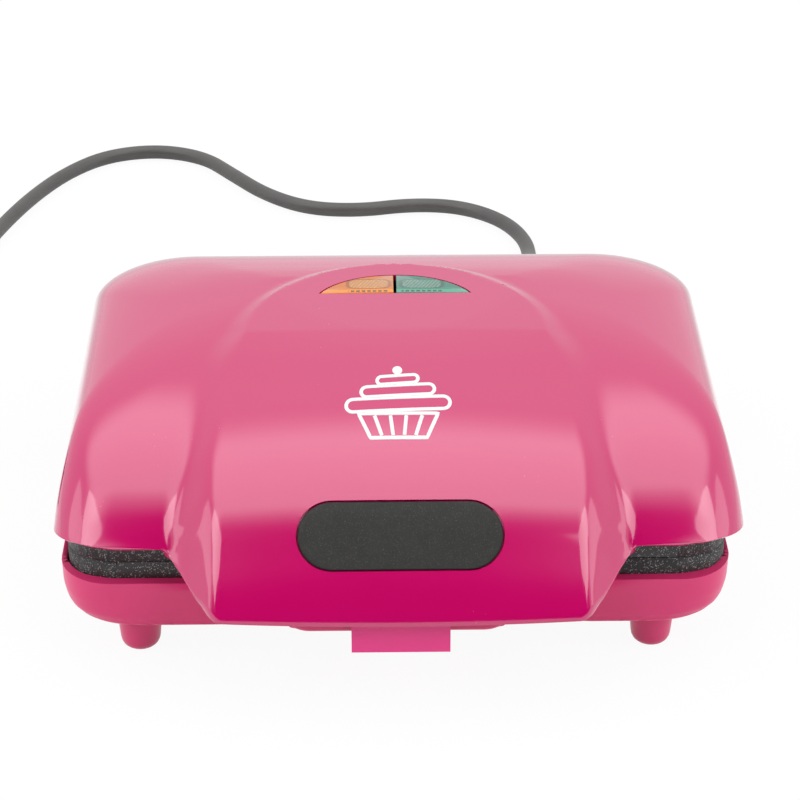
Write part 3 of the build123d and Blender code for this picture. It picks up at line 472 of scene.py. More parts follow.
def shade(piece: Piece, shading: Shading) -> None:
    """Shade smoothly, with creases kept where faces meet at more than the style's angle."""
    piece.data.shade_smooth()
    piece.data.set_sharp_from_angle(angle=radians(shading.value))


def added(name: str, data: bpy.types.ID) -> Piece:
    """New object with its data, put into the scene at the origin."""
    made = bpy.data.objects.new(name, data)
    bpy.context.scene.collection.objects.link(made)
    return made


def mesh_piece(name: str, points: Array, faces: Array, shading: Shading = Shading.CREASED) -> Piece:
    """Make a piece from points and faces.

    Args:
        name: the piece's name.
        points: (n, 3) array in drawing millimetres.
        faces: (m, 3) or (m, 4) array of point numbers.
        shading: how the mesh is shaded.

    Returns:
        The new object at the origin, its place in its mesh.
    """
    mesh = bpy.data.meshes.new(name)
    mesh.from_pydata(place(points.reshape(-1, 3)).tolist(), [], faces.tolist())
    mesh.update()
    piece = added(name, mesh)
    weld(piece)
    shade(piece, shading)
    return piece


def weld(piece: Piece, distance: float = 2e-6, outward: bool = False) -> None:
    """Merge doubled points, drop faces without area and, if wanted, turn normals outwards."""
    work = bmesh.new()
    work.from_mesh(piece.data)
    bmesh.ops.remove_doubles(work, verts=work.verts, dist=distance)
    bmesh.ops.dissolve_degenerate(work, edges=work.edges, dist=distance)
    if outward:
        bmesh.ops.recalc_face_normals(work, faces=work.faces)
    work.to_mesh(piece.data)
    work.free()


def grid_faces(rows: int, columns: int, wrap_rows: bool, wrap_columns: bool) -> Array:
    """Quads of a grid of points, row by row, closed round where wrapped."""
    last_row = rows if wrap_rows else rows - 1
    last_column = columns if wrap_columns else columns - 1
    row, column = np.meshgrid(np.arange(last_row), np.arange(last_column), indexing="ij")
    below, beside = (row + 1) % rows, (column + 1) % columns
    corners = (
        row * columns + column,
        row * columns + beside,
        below * columns + beside,
        below * columns + column,
    )
    return np.stack([corner.ravel() for corner in corners], axis=1)


def closed_grid(name: str, points: Array) -> Piece:
    """Tube of section rings with both ends closed by a fan, as a closed solid.

    Args:
        name: the piece's name.
        points: (rings, around, 3) array in drawing millimetres.

    Returns:
        The new object, its normals outwards.
    """
    first = np.repeat(points[:1].mean(axis=1, keepdims=True), points.shape[1], axis=1)
    last = np.repeat(points[-1:].mean(axis=1, keepdims=True), points.shape[1], axis=1)
    whole = np.concatenate([first, points, last])
    faces = grid_faces(whole.shape[0], whole.shape[1], False, True)
    piece = mesh_piece(name, whole, faces)
    weld(piece, outward=True)
    shade(piece, Shading.CREASED)
    return piece


def turned(name: str, profile: Array, centre: Sequence[float], around: int = 48) -> Piece:
    """Solid of revolution about an upright axis.

    Args:
        name: the piece's name.
        profile: (n, 2) array of radius and height.
        centre: drawing place of the axis at height 0.
        around: points round the axis.

    Returns:
        The new object.
    """
    angle = np.linspace(0, 2 * pi, around, endpoint=False)
    radius, height = profile[:, :1], profile[:, 1:]
    points = [radius * np.cos(angle), radius * np.sin(angle), height + 0 * angle]
    return closed_grid(name, np.stack(points, axis=-1) + np.array(centre, float))


def rounded(profile: Sequence[Triple], steps: int = 6) -> Array:
    """Profile with rounded corners: each corner (a, b, radius) becomes a quadratic curve."""
    points: List[Array] = []
    corners = [np.array(corner[:2], float) for corner in profile]
    for index, (corner, given) in enumerate(zip(corners, profile)):
        radius = given[2]
        if radius <= 0 or index in (0, len(corners) - 1):
            points.append(corner[None])
            continue
        start, end = (
            corner + edge / np.linalg.norm(edge) * min(radius, np.linalg.norm(edge) / 2)
            for edge in (corners[index - 1] - corner, corners[index + 1] - corner)
        )
        t = np.linspace(0, 1, steps)[:, None]
        points.append((1 - t) ** 2 * start + 2 * t * (1 - t) * corner + t**2 * end)
    return np.concatenate(points)


def settle(piece: Piece) -> None:
    """Turn a piece's modifiers into its mesh."""
    bpy.context.view_layer.update()
    depsgraph = bpy.context.evaluated_depsgraph_get()
    made = bpy.data.meshes.new_from_object(piece.evaluated_get(depsgraph))
    piece.modifiers.clear()
    piece.data = made


def cut(piece: Piece, cutter: Piece) -> None:
    """Take a closed cutter out of a closed piece and delete the cutter."""
    modifier = piece.modifiers.new("cut", "BOOLEAN")
    modifier.operation = "DIFFERENCE"
    modifier.solver = "MANIFOLD"
    modifier.object = cutter
    settle(piece)
    bpy.data.objects.remove(cutter)


def natural_spline(knots: Array, values: Array) -> Callable[[Array], Array]:
    """Natural cubic spline through values at knots: second slopes solve one band of equations.

    Args:
        knots: rising places.
        values: what the curve passes through.

    Returns:
        A function of places that holds its end values outside the knots.
    """
    gap = np.diff(knots)
    count = len(knots)
    band = np.eye(count)
    right = np.zeros(count)
    inner = np.arange(1, count - 1)
    band[inner, inner - 1] = gap[:-1]
    band[inner, inner] = 2 * (gap[:-1] + gap[1:])
    band[inner, inner + 1] = gap[1:]
    slope = np.diff(values) / gap
    right[1:-1] = 6 * np.diff(slope)
    bend = np.linalg.solve(band, right)

    def curve(place_at: Array) -> Array:
        """Cubic of the span that each place lies in."""
        at = np.clip(place_at, knots[0], knots[-1])
        span = np.clip(np.searchsorted(knots, at) - 1, 0, count - 2)
        left, wide = at - knots[span], gap[span]
        rest = wide - left
        return (
            (bend[span] * rest**3 + bend[span + 1] * left**3) / (6 * wide)
            + (values[span] / wide - bend[span] * wide / 6) * rest
            + (values[span + 1] / wide - bend[span + 1] * wide / 6) * left
        )

    return curve


def soft_max(first: Array, second: Array, width: float) -> Array:
    """The larger of two heights, with the crease between them rounded over a width."""
    near = np.clip(0.5 + 0.5 * (first - second) / width, 0, 1)
    return second + (first - second) * near + width * near * (1 - near)


# The lid's surface


class Run(IntEnum):
    """Runs that make up a ring of the lid, in order round it."""

    FRONT = 0
    FRONT_RIGHT = 1
    RIGHT = 2
    REAR_RIGHT = 3
    REAR = 4
    REAR_LEFT = 5
    LEFT = 6
    FRONT_LEFT = 7


@dataclass
class LidForm:
    """The lid's outer surface as a function of two parameters.

    Rings of rounded rectangles rise from the rim to the top. The tongue is a height over
    the plan, and the front of the rings is drawn forwards where the lip reaches out.
    """

    rim_width: float = 246.0
    rim_depth: float = 220.0
    rim_z: float = 47.0
    front_radius: float = 20.0
    rear_radius: float = 38.0
    least_radius: float = 2.0
    # Rise, side inset, front inset, rear inset and share of the corner radii
    levels: Table = (
        (0.0, 0.0, 0.0, 0.0, 1.0),
        (8.0, 1.2, 5.0, 7.0, 0.98),
        (16.0, 3.0, 12.0, 18.5, 0.96),
        (23.0, 5.0, 21.0, 31.0, 0.94),
        (30.0, 9.0, 38.0, 43.0, 0.90),
        (36.0, 22.0, 66.0, 58.0, 0.80),
        (38.2, 34.0, 85.0, 68.5, 0.70),
        (39.4, 50.0, 103.0, 76.0, 0.50),
        (40.0, 70.0, 118.0, 82.0, 0.25),
    )
    # Station, crest, shoulder half width, foot half width, rake of the foot and of the shoulder
    stations: Table = (
        (-29.0, 34.9, 65.0, 65.8, 0.45, 0.06),
        (-21.5, 46.6, 64.0, 68.6, 0.45, 0.06),
        (-14.0, 55.8, 63.0, 72.8, 0.45, 0.06),
        (-6.5, 64.4, 62.3, 77.0, 0.45, 0.06),
        (0.0, 70.4, 62.0, 82.0, 0.40, 0.06),
        (8.0, 75.0, 62.1, 82.2, 0.30, 0.06),
        (17.0, 78.4, 62.2, 81.6, 0.20, 0.06),
        (29.0, 81.4, 62.2, 80.2, 0.12, 0.06),
        (44.0, 83.9, 61.9, 77.8, 0.10, 0.06),
        (60.0, 85.8, 61.2, 75.0, 0.10, 0.08),
        (76.0, 87.4, 59.6, 71.6, 0.14, 0.16),
        (91.0, 88.4, 56.0, 65.0, 0.30, 0.30),
    )
    # Shares of the way from foot to shoulder at which the flank's cubic has its inner points
    pulls: Pair = (0.4, 0.6)
    arch_y: float = 91.0
    arch_radius: float = 56.0
    # Run of the arch's flank per rise, at its sides and at its rear, and the largest run
    arch_flare: Pair = (2.8, 1.3)
    arch_limit: float = 12.0
    # Drop from the crest to the shoulders, the drop in the arch, and the length of the change
    crown: float = 2.2
    arch_crown: float = 0.8
    crown_fade: float = 31.0
    rear_crest: float = 88.5
    highest: float = 88.41
    sink: float = 1.2
    # Distance from Y = 0 over which the wings' rim passes into the lip
    rim_passage: float = 5.0
    lip_reach: float = 28.0
    lip_corner_reach: float = 26.3
    lip_half: float = 65.5
    lip_z: float = 35.0
    # Half width and reach at the inner and the outer end of the line along the tongue's foot
    lip_line_ends: Pairs = ((55.0, 58.0), (95.0, -17.0))
    lip_corner: float = 13.0
    lip_passage: float = 1.6
    # Front inset at which the lip's reach has faded
    lip_fade: float = 34.0
    edge_round: float = 0.7
    foot_blend: float = 3.6
    # How far the front rim rises towards the wings' corners, and the rise over which that fades
    rim_trim: float = 3.9
    trim_fade: float = 16.0
    # Its share beside the lip, and the half widths between which it grows to the whole
    trim_least: float = 0.6
    trim_zone: Pair = (82.0, 103.0)
    # Half widths between which the columns lie closer, for the flanks
    flank_zone: Pair = (54.0, 86.0)
    # Way from the rim to the first rings, which draw its rounded edge
    edge_rings: Tuple[float, ...] = (0.0, 0.15, 0.35, 0.6, 0.9)
    first_ring: float = 1.3

    def __post_init__(self) -> None:
        """Fit the splines once."""
        table = np.array(self.levels)
        chord = np.r_[0.0, np.cumsum(np.hypot(np.diff(table[:, 0]), np.diff(table[:, 2])))]
        self.travel = chord[-1]
        self.level_curves = [natural_spline(chord, table[:, column]) for column in range(5)]
        dense = np.linspace(0, self.travel, 1500)
        self.profile_y = self.level_curves[2](dense)
        self.profile_rise = self.level_curves[0](dense)
        rows = np.array(self.stations)
        self.station_curves = [natural_spline(rows[:, 0], rows[:, column]) for column in range(1, 6)]
        p = np.linspace(0, 1, 200)
        near, far = self.pulls
        self.side_foot = 3 * (1 - p) ** 2 * p
        self.side_shoulder = 3 * (1 - p) * p**2
        self.side_full = p**3
        self.side_reach = self.side_foot * near + self.side_shoulder * far + self.side_full

    def rim_line(self, y: Array) -> Array:
        """Height of the rim: level along the wings, falling over the lip."""
        return self.rim_z + np.minimum(y, 0) * (self.rim_z - self.lip_z) / self.lip_reach

    def trim_over(self, x: Array, y: Array) -> Array:
        """Extra height of the front rim: least beside the lip, full at the corners."""
        start, end = self.trim_zone
        outward = np.clip((np.abs(x) - start) / (end - start), 0, 1)
        share = self.trim_least + (1 - self.trim_least) * outward
        return self.rim_trim * share * np.clip(1 + y / self.rim_passage, 0, 1)

    def wing_over(self, y: Array) -> Array:
        """Height of the dome over a plan line behind the front rim."""
        return self.rim_z + np.interp(y, self.profile_y, self.profile_rise)

    def lip_line(self, x: Array) -> Array:
        """How far the rim reaches in front of Y = 0: a bow between the lip's corners.

        Beyond the corners it follows the foot of the tongue back to the wings.
        """
        wide = np.abs(x)
        bow = self.lip_corner_reach + (self.lip_reach - self.lip_corner_reach) * (
            1 - (wide / self.lip_half) ** 2
        )
        rows = np.array(self.stations)
        falling = rows[rows[:, 0] <= 0]
        inner, outer = self.lip_line_ends
        foot = np.column_stack([falling[:, 3], -falling[:, 0]])
        line = np.vstack([inner, foot, outer])
        flank = np.interp(wide, line[:, 0], line[:, 1])
        blend = np.clip(0.5 + 0.5 * (flank - bow) / self.lip_corner, 0, 1)
        lower = flank + (bow - flank) * blend - self.lip_corner * blend * (1 - blend)
        return soft_max(lower, 0 * lower, self.lip_passage)

    def tongue_over(self, x: Array, y: Array, wing: Array) -> Array:
        """Height of the tongue over the plan.

        A cross-section has a crowned top between the shoulders and, from shoulder to foot,
        a cubic whose inner points lie at the two rakes. Behind the arch's centre the same
        section is turned round that centre.
        """
        behind = y > self.arch_y
        out = np.where(behind, np.hypot(x, y - self.arch_y), np.abs(x))
        crest, shoulder, foot, foot_rake, shoulder_rake = (curve(y) for curve in self.station_curves)
        back = np.clip((y - self.arch_y) / self.arch_radius, 0, 1)
        crest = crest + (self.rear_crest - crest) * back * behind
        before = np.clip((self.arch_y - y) / self.crown_fade, 0, 1)
        crown = self.arch_crown + (self.crown - self.arch_crown) * before
        top = crest - crown * np.minimum(np.abs(x) / shoulder, 1.2) ** 2
        shoulder_z = crest - crown
        start = np.clip(np.abs(y) / self.rim_passage, 0, 1)
        behind_rim = np.minimum(self.wing_over(y), wing) - self.sink * start
        base = np.where(y > 0, behind_rim, self.rim_line(y) + start)
        beside, rear = self.arch_flare
        sideways = np.abs(x) / np.maximum(out, 1.0)
        run = (shoulder_z - base) * (rear + (beside - rear) * sideways**4)
        straight = shoulder + np.minimum(run, self.arch_limit)
        foot = np.where(behind, straight, foot)
        part = np.clip((foot - out) / np.maximum(foot - shoulder, 0.3), 0, 1)
        at_foot = np.interp(part, self.side_reach, self.side_foot)
        at_shoulder = np.interp(part, self.side_reach, self.side_shoulder)
        full = np.interp(part, self.side_reach, self.side_full)
        share = at_foot * foot_rake + at_shoulder * (1 - shoulder_rake) + full
        flank = base + (shoulder_z - base) * share
        inside = out < shoulder
        return np.where(inside, np.maximum(top, shoulder_z - 1.0), flank)

    def height_over(self, x: Array, y: Array) -> Array:
        """Height of the finished lid over a place on the tongue."""
        return self.tongue_over(x, y, self.wing_over(y))

    def ring_columns(self) -> Tuple[Array, Array]:
        """Places round a ring: the run and the share along it, closer near the flanks."""
        near, far = self.flank_zone
        end = self.rim_width / 2 - self.front_radius
        centre = np.linspace(-near, near, 45)
        flank = np.linspace(near, far, 31)[1:]
        outer = np.linspace(far, end, 9)[1:]
        front = np.concatenate([-outer[::-1], -flank[::-1], centre, flank, outer]) / end
        straight = (front + 1) / 2
        pieces = (
            (Run.FRONT, straight),
            (Run.FRONT_RIGHT, np.linspace(0, 1, 13)),
            (Run.RIGHT, np.linspace(0, 1, 61)),
            (Run.REAR_RIGHT, np.linspace(0, 1, 17)),
            (Run.REAR, straight),
            (Run.REAR_LEFT, np.linspace(0, 1, 17)),
            (Run.LEFT, np.linspace(0, 1, 61)),
            (Run.FRONT_LEFT, np.linspace(0, 1, 13)),
        )
        run = np.concatenate([np.full(len(shares) - 1, int(number)) for number, shares in pieces])
        share = np.concatenate([shares[:-1] for _, shares in pieces])
        return run, share

    def surface(self, rings: int = 92) -> Array:
        """All points of the outer surface.

        Returns:
            (rings + closing rings, columns, 3) array in drawing millimetres, from the rim
            inwards to the line in which the top closes.
        """
        run, share = self.ring_columns()
        further = np.linspace(self.first_ring, self.travel, rings - len(self.edge_rings))
        way = np.concatenate([self.edge_rings, further])[:, None]
        rise, inset, front, rear_in, corner = (curve(way) for curve in self.level_curves)
        half, rear = self.rim_width / 2 - inset, self.rim_depth - rear_in
        front_r = np.maximum(self.front_radius * corner, self.least_radius)
        rear_r = np.maximum(self.rear_radius * corner, self.least_radius)
        length = rear - rear_r - front - front_r
        turned_x, turned_y = np.cos(share * pi / 2), np.sin(share * pi / 2)
        places = {
            Run.FRONT: ((2 * share - 1) * (half - front_r), front + 0 * share),
            Run.FRONT_RIGHT: (half - front_r + front_r * turned_y, front + front_r - front_r * turned_x),
            Run.RIGHT: (half + 0 * share, front + front_r + share * length),
            Run.REAR_RIGHT: (half - rear_r + rear_r * turned_x, rear - rear_r + rear_r * turned_y),
            Run.REAR: ((1 - 2 * share) * (half - rear_r), rear + 0 * share),
            Run.REAR_LEFT: (-half + rear_r - rear_r * turned_y, rear - rear_r + rear_r * turned_x),
            Run.LEFT: (-half + 0 * share, rear - rear_r - share * length),
            Run.FRONT_LEFT: (-half + front_r - front_r * turned_x, front + front_r - front_r * turned_y),
        }
        x, y = np.zeros((2, len(way), len(run)))
        for number, (run_x, run_y) in places.items():
            here = run == number
            x[:, here], y[:, here] = run_x[:, here], run_y[:, here]
        in_front = run == Run.FRONT
        corners = (run == Run.FRONT_RIGHT, run == Run.FRONT_LEFT)
        facing = np.select([in_front, *corners], [1 + 0 * share, turned_x, turned_y], 0)
        drawn = in_front | corners[0] | corners[1]
        fade = np.clip(1 - front / self.lip_fade, 0, 1)
        y = y - np.where(drawn, self.lip_line(x) * fade, 0)
        forward = np.where(y > 0, self.wing_over(y), self.rim_line(y))
        wing = np.where(in_front, forward, self.rim_z + rise + 0 * x)
        trim = self.trim_over(x, y) * np.maximum(facing, 0) ** 1.2
        wing = wing + trim * np.clip(1 - rise / self.trim_fade, 0, 1) ** 2
        tongue = self.tongue_over(x, y, wing)
        z = np.where(y > 0, soft_max(wing, tongue, self.foot_blend), np.maximum(wing, tongue))
        z = np.minimum(z, self.highest)
        rim = np.where(in_front, self.rim_line(y), self.rim_z) + trim
        edge = np.clip(way / self.edge_round, 0, 1)
        z = rim + (z - rim) * np.where(in_front, np.sqrt(1 - (1 - edge) ** 2), 1)
        outer = np.stack([x, y, z], axis=-1)
        return np.concatenate([outer, self.closing_rings(outer[-1])])

    def closing_rings(self, last: Array, count: int = 6) -> Array:
        """Rings that shrink from the top level to a line along X, on the tongue's top."""
        share = (np.arange(1, count + 1) / count)[:, None]
        middle = (last[:, 1].min() + last[:, 1].max()) / 2
        reach = np.abs(last[:, 0]).max() - (last[:, 1].max() - last[:, 1].min()) / 2
        x = last[:, 0] * (1 - share) + np.clip(last[:, 0], -reach, reach) * share
        y = last[:, 1] * (1 - share) + middle * share
        crest = self.rim_z + self.levels[-1][0] + 0 * x
        tongue = self.tongue_over(x, y, crest)
        z = np.minimum(soft_max(crest, tongue, self.foot_blend), self.highest)
        return np.stack([x, y, z], axis=-1)


# Sub-assemblies


@dataclass
class Lid:
    """Domed cover with its window, grip pad, emblem and the pieces inside it."""

    form: LidForm = field(default_factory=LidForm)
    wall: float = 2.6
    # The rim's rounding, and the turn in degrees above which its edges count as sharp
    rim_round: float = 0.35
    rim_sharp: float = 50.0
    # Room for the clip's swing inside the lip: half width, and section in Y and Z
    latch_room_half: float = 18.6
    latch_room_section: Pairs = (
        (-26.9, 30.0), (-26.9, 36.6), (-20.0, 38.6), (-20.0, 30.0),
    )
    pad_length: float = 71.0
    pad_height: float = 24.0
    pad_y: float = -9.5
    pad_z: float = 60.6
    pad_slope: float = 48.0
    pad_sheet: float = 1.2
    pad_gap: float = 0.55
    pad_sink: float = 0.3
    # Height and rounding of the pad's face, and shares of the outline at which rings lie
    pad_top: float = -0.12
    pad_edge: float = 0.45
    pad_rings: Tuple[float, ...] = (0.0, 0.35, 0.7, 0.93, 1.0)
    pad_edge_ring: float = 0.94
    lens_half: float = 28.5
    lens_front: float = 121.5
    lens_depth: float = 14.8
    lens_gap: float = 0.45
    lens_sheet: float = 2.4
    lens_proud: float = 0.02
    lens_edge: float = 0.35
    # The bow's two powers, its least depth at the tips, and the gap's growth towards them
    lens_bow: Pair = (2.2, 0.77)
    lens_tip: float = 0.3
    lens_tip_gap: float = 1.5
    divider: float = 1.0
    # How far the cutters stand over the lid, for pad and window, and the window's below it
    cutter_over: Pair = (6.0, 4.0)
    cutter_below: float = 8.0

    def build(self) -> None:
        """Make every piece of the lid and let it ride on the lid's body."""
        self.cover()
        self.grip_pad()
        self.window()
        self.emblem()
        self.inner_pieces()

    def cover(self) -> None:
        """The lacquered shell, its wall made inwards, with the pad's recess and the window."""
        points = self.form.surface()
        faces = grid_faces(points.shape[0], points.shape[1], False, True)
        piece = mesh_piece("lid_shell", points, faces, Shading.SOFT)
        wall = piece.modifiers.new("wall", "SOLIDIFY")
        wall.thickness = self.wall * MM
        wall.offset = -1.0
        settle(piece)
        weld(piece)
        pad_over, lens_over = self.cutter_over
        floor = -self.pad_sheet - self.pad_sink
        cut(piece, self.pad_form("pad_cutter", self.pad_gap, floor, pad_over, 0.0))
        reach = (-self.lens_half, self.lens_half)
        cut(piece, self.lens_form("lens_cutter", reach, self.lens_gap, self.cutter_below, lens_over))
        cut(piece, self.latch_room())
        weld(piece)
        self.round_rim(piece)
        shade(piece, Shading.CREASED)
        LID_ENAMEL.dress(piece)
        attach(piece, "lid")
        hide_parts("lid_cover")
        log.info("lid shell with %d faces", len(piece.data.polygons))

    def round_rim(self, piece: Piece) -> None:
        """Round the sharp edges below the pad, which are the rim's, so that they catch light."""
        work = bmesh.new()
        work.from_mesh(piece.data)
        top = (self.form.rim_z + self.form.rim_trim + 0.1) * MM
        sharp = [
            edge
            for edge in work.edges
            if len(edge.link_faces) == 2
            and max(vert.co.z for vert in edge.verts) < top
            and edge.calc_face_angle(0.0) > radians(self.rim_sharp)
        ]
        bmesh.ops.bevel(
            work, geom=sharp, offset=self.rim_round * MM, segments=2, profile=0.5, affect="EDGES"
        )
        work.to_mesh(piece.data)
        work.free()

    def pad_point(
        self, across: Array, up: Array, lift: float, tries: int = 12, damping: float = 0.6
    ) -> Array:
        """Place on the front slope from plane coordinates, lifted off the lid's surface.

        The plane's point is pushed along the plane's normal until it meets the surface: each
        try pushes by a share of the height that is still missing.
        """
        slope = radians(self.pad_slope)
        normal = np.array([0.0, -sin(slope), cos(slope)])
        upward = np.array([0.0, cos(slope), sin(slope)])
        start = np.array([0.0, self.pad_y, self.pad_z]) + up[..., None] * upward
        start = start + across[..., None] * np.array([1.0, 0.0, 0.0])
        push = np.zeros_like(across)
        for _ in range(tries):
            spot = start + push[..., None] * normal
            push = push + (self.form.height_over(spot[..., 0], spot[..., 1]) - spot[..., 2]) * damping
        return start + (push + lift)[..., None] * normal

    def stadium(self, growth: float, around: int = 96) -> Tuple[Array, Array]:
        """Outline of the pad: two half circles joined by straights."""
        angle = np.linspace(0, 2 * pi, around, endpoint=False)
        radius = self.pad_height / 2 + growth
        straight = self.pad_length / 2 + growth - radius
        return radius * np.cos(angle) + straight * np.sign(np.cos(angle)), radius * np.sin(angle)

    def latch_room(self) -> Piece:
        """Cutter that thins the lip from inside where the clip swings out against it."""
        points = np.zeros((2, len(self.latch_room_section), 3))
        points[:, :, 0] = [[-self.latch_room_half], [self.latch_room_half]]
        points[:, :, 1:] = self.latch_room_section
        return closed_grid("latch_cutter", points)

    def pad_form(self, name: str, growth: float, low: float, high: float, edge: float) -> Piece:
        """Closed stadium between two lifts over the surface, with a rounded upper edge."""
        across, up = self.stadium(growth)
        rings = [self.pad_point(across * share, up * share, low) for share in self.pad_rings]
        if edge > 0:
            for turn in np.linspace(0, pi / 2, 5):
                inner = 1 - edge * (1 - cos(turn)) / (self.pad_height / 2)
                lift = high - edge + edge * sin(turn)
                rings.append(self.pad_point(across * inner, up * inner, lift))
        widest = self.pad_edge_ring if edge > 0 else 1.0
        for share in reversed(self.pad_rings[1:]):
            share = min(share, widest)
            rings.append(self.pad_point(across * share, up * share, high))
        return closed_grid(name, np.array(rings))

    def grip_pad(self) -> None:
        """Matt pad in the recess of the front slope."""
        low = -self.pad_sheet - 0.1
        piece = self.pad_form("grip_pad_face", 0.0, low, self.pad_top, self.pad_edge)
        GRIP.dress(piece)
        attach(piece, "lid")
        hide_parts("grip_pad")
        log.info("grip pad")

    def lens_form(self, name: str, reach: Pair, gap: float, below: float, above: float) -> Piece:
        """Closed slab with the window's outline: straight front, bowed rear, rounded tips.

        The rear is the part of y = front + depth * (1 - (x / half)^2.2)^0.77 between two x.
        """
        beside = gap * self.lens_tip_gap
        left, right = reach[0] - beside, reach[1] + beside
        half = self.lens_half + beside
        x = np.linspace(left, right, 61)
        for end in (left, right):
            if abs(abs(end) - half) < 0.01:
                x = np.sort(np.append(x, end * (1 - np.geomspace(0.0008, 0.012, 6))))
        power, root = self.lens_bow
        bow = (self.lens_depth + 2 * gap) * (1 - np.minimum(np.abs(x) / half, 1) ** power) ** root
        thin = np.maximum(bow, self.lens_tip)
        front = self.lens_front - gap
        outline = np.concatenate([
            np.stack([x, np.full_like(x, front)], axis=-1),
            np.stack([x, front + thin], axis=-1)[::-1],
        ])
        centre = np.array([(left + right) / 2, front + thin.mean() / 2])
        height = self.form.height_over(outline[:, 0], outline[:, 1])
        bevel = self.lens_edge if above < 1 else 0.0
        steps = (
            (-below, 1.0),
            (above - bevel, 1.0),
            (above - bevel * 0.3, 1 - bevel * 0.025),
            (above, 1 - bevel * 0.08),
        )
        rings = [
            np.column_stack([centre + (outline - centre) * share, height + lift])
            for lift, share in steps
        ]
        return closed_grid(name, np.array(rings))

    def window(self) -> None:
        """Amber and green halves of the window, a hair proud of the lid."""
        halves = (
            ("amber_lens", (-self.lens_half, -self.divider / 2), AMBER),
            ("green_lens", (self.divider / 2, self.lens_half), GREEN),
        )
        for node, reach, finish in halves:
            piece = self.lens_form(node + "_face", reach, 0.0, self.lens_sheet, self.lens_proud)
            finish.dress(piece)
            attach(piece, "lid")
            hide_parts(node)
        log.info("window halves")

    def emblem(self) -> None:
        """White painted emblem: a small cake in a pleated case under turns of icing."""
        Emblem(self.form).build()

    def inner_pieces(self) -> None:
        """Finishes of the pieces inside the lid and on its hinge line."""
        dress_solids((
            (SHEATH, ("upper_heating_element",)),
            (BRIGHT_SHEET, ("upper_reflector",)),
            (ZINC, ("lid_screws", "latch_pin")),
            (PALE, ("lamp_carrier",)),
            (LAMP_GLASS, ("amber_lamp", "green_lamp")),
            (TRAY_PLASTIC, ("handle_liner",)),
        ))
        plate = reshaped("upper_plate", "upper_plate_cast", widened_plate)
        NONSTICK.dress(plate)
        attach(plate, "lid")
        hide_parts("upper_plate")
        sleeve = reshaped("link_sleeve", "link_sleeve_moulded", flattened_sleeve)
        PALE.dress(sleeve)
        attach(sleeve, "lid")
        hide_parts("link_sleeve")


# How far plates and tray spread at their sides, the half widths over which they do, and how
# far to the left the plates lie
SIDE_SPREAD = 2.0
SIDE_ZONE = (105.0, 109.0)
PLATE_SHIFT = -0.8
# Height above which the sleeve and its ear on the tray are flatter than the solids, the share
# that the sleeve loses, and where it starts to
HINGE_Z = 44.0
SLEEVE_LOSS = 0.2
SLEEVE_ZONE = (214.0, 222.0)


def widened_plate(points: Array) -> Array:
    """Plate whose side walls stand further out, close to the tray's edge."""
    moved = points.copy()
    outward = np.sign(points[:, 0]) * SIDE_SPREAD * ease(np.abs(points[:, 0]), *SIDE_ZONE)
    moved[:, 0] += outward + PLATE_SHIFT
    return moved


def flattened_sleeve(points: Array) -> Array:
    """Sleeve whose upper rear is pressed flatter, as its place behind the lid shows."""
    moved = points.copy()
    above = np.maximum(points[:, 2] - HINGE_Z, 0)
    moved[:, 2] -= above * SLEEVE_LOSS * ease(points[:, 1], *SLEEVE_ZONE)
    return moved


def dress_solids(table: Sequence[Tuple[Finish, Sequence[str]]]) -> None:
    """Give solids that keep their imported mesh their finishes.

    Args:
        table: finishes, each with the names of its solids.
    """
    for finish, names in table:
        finish.dress(*(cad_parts[name] for name in names))


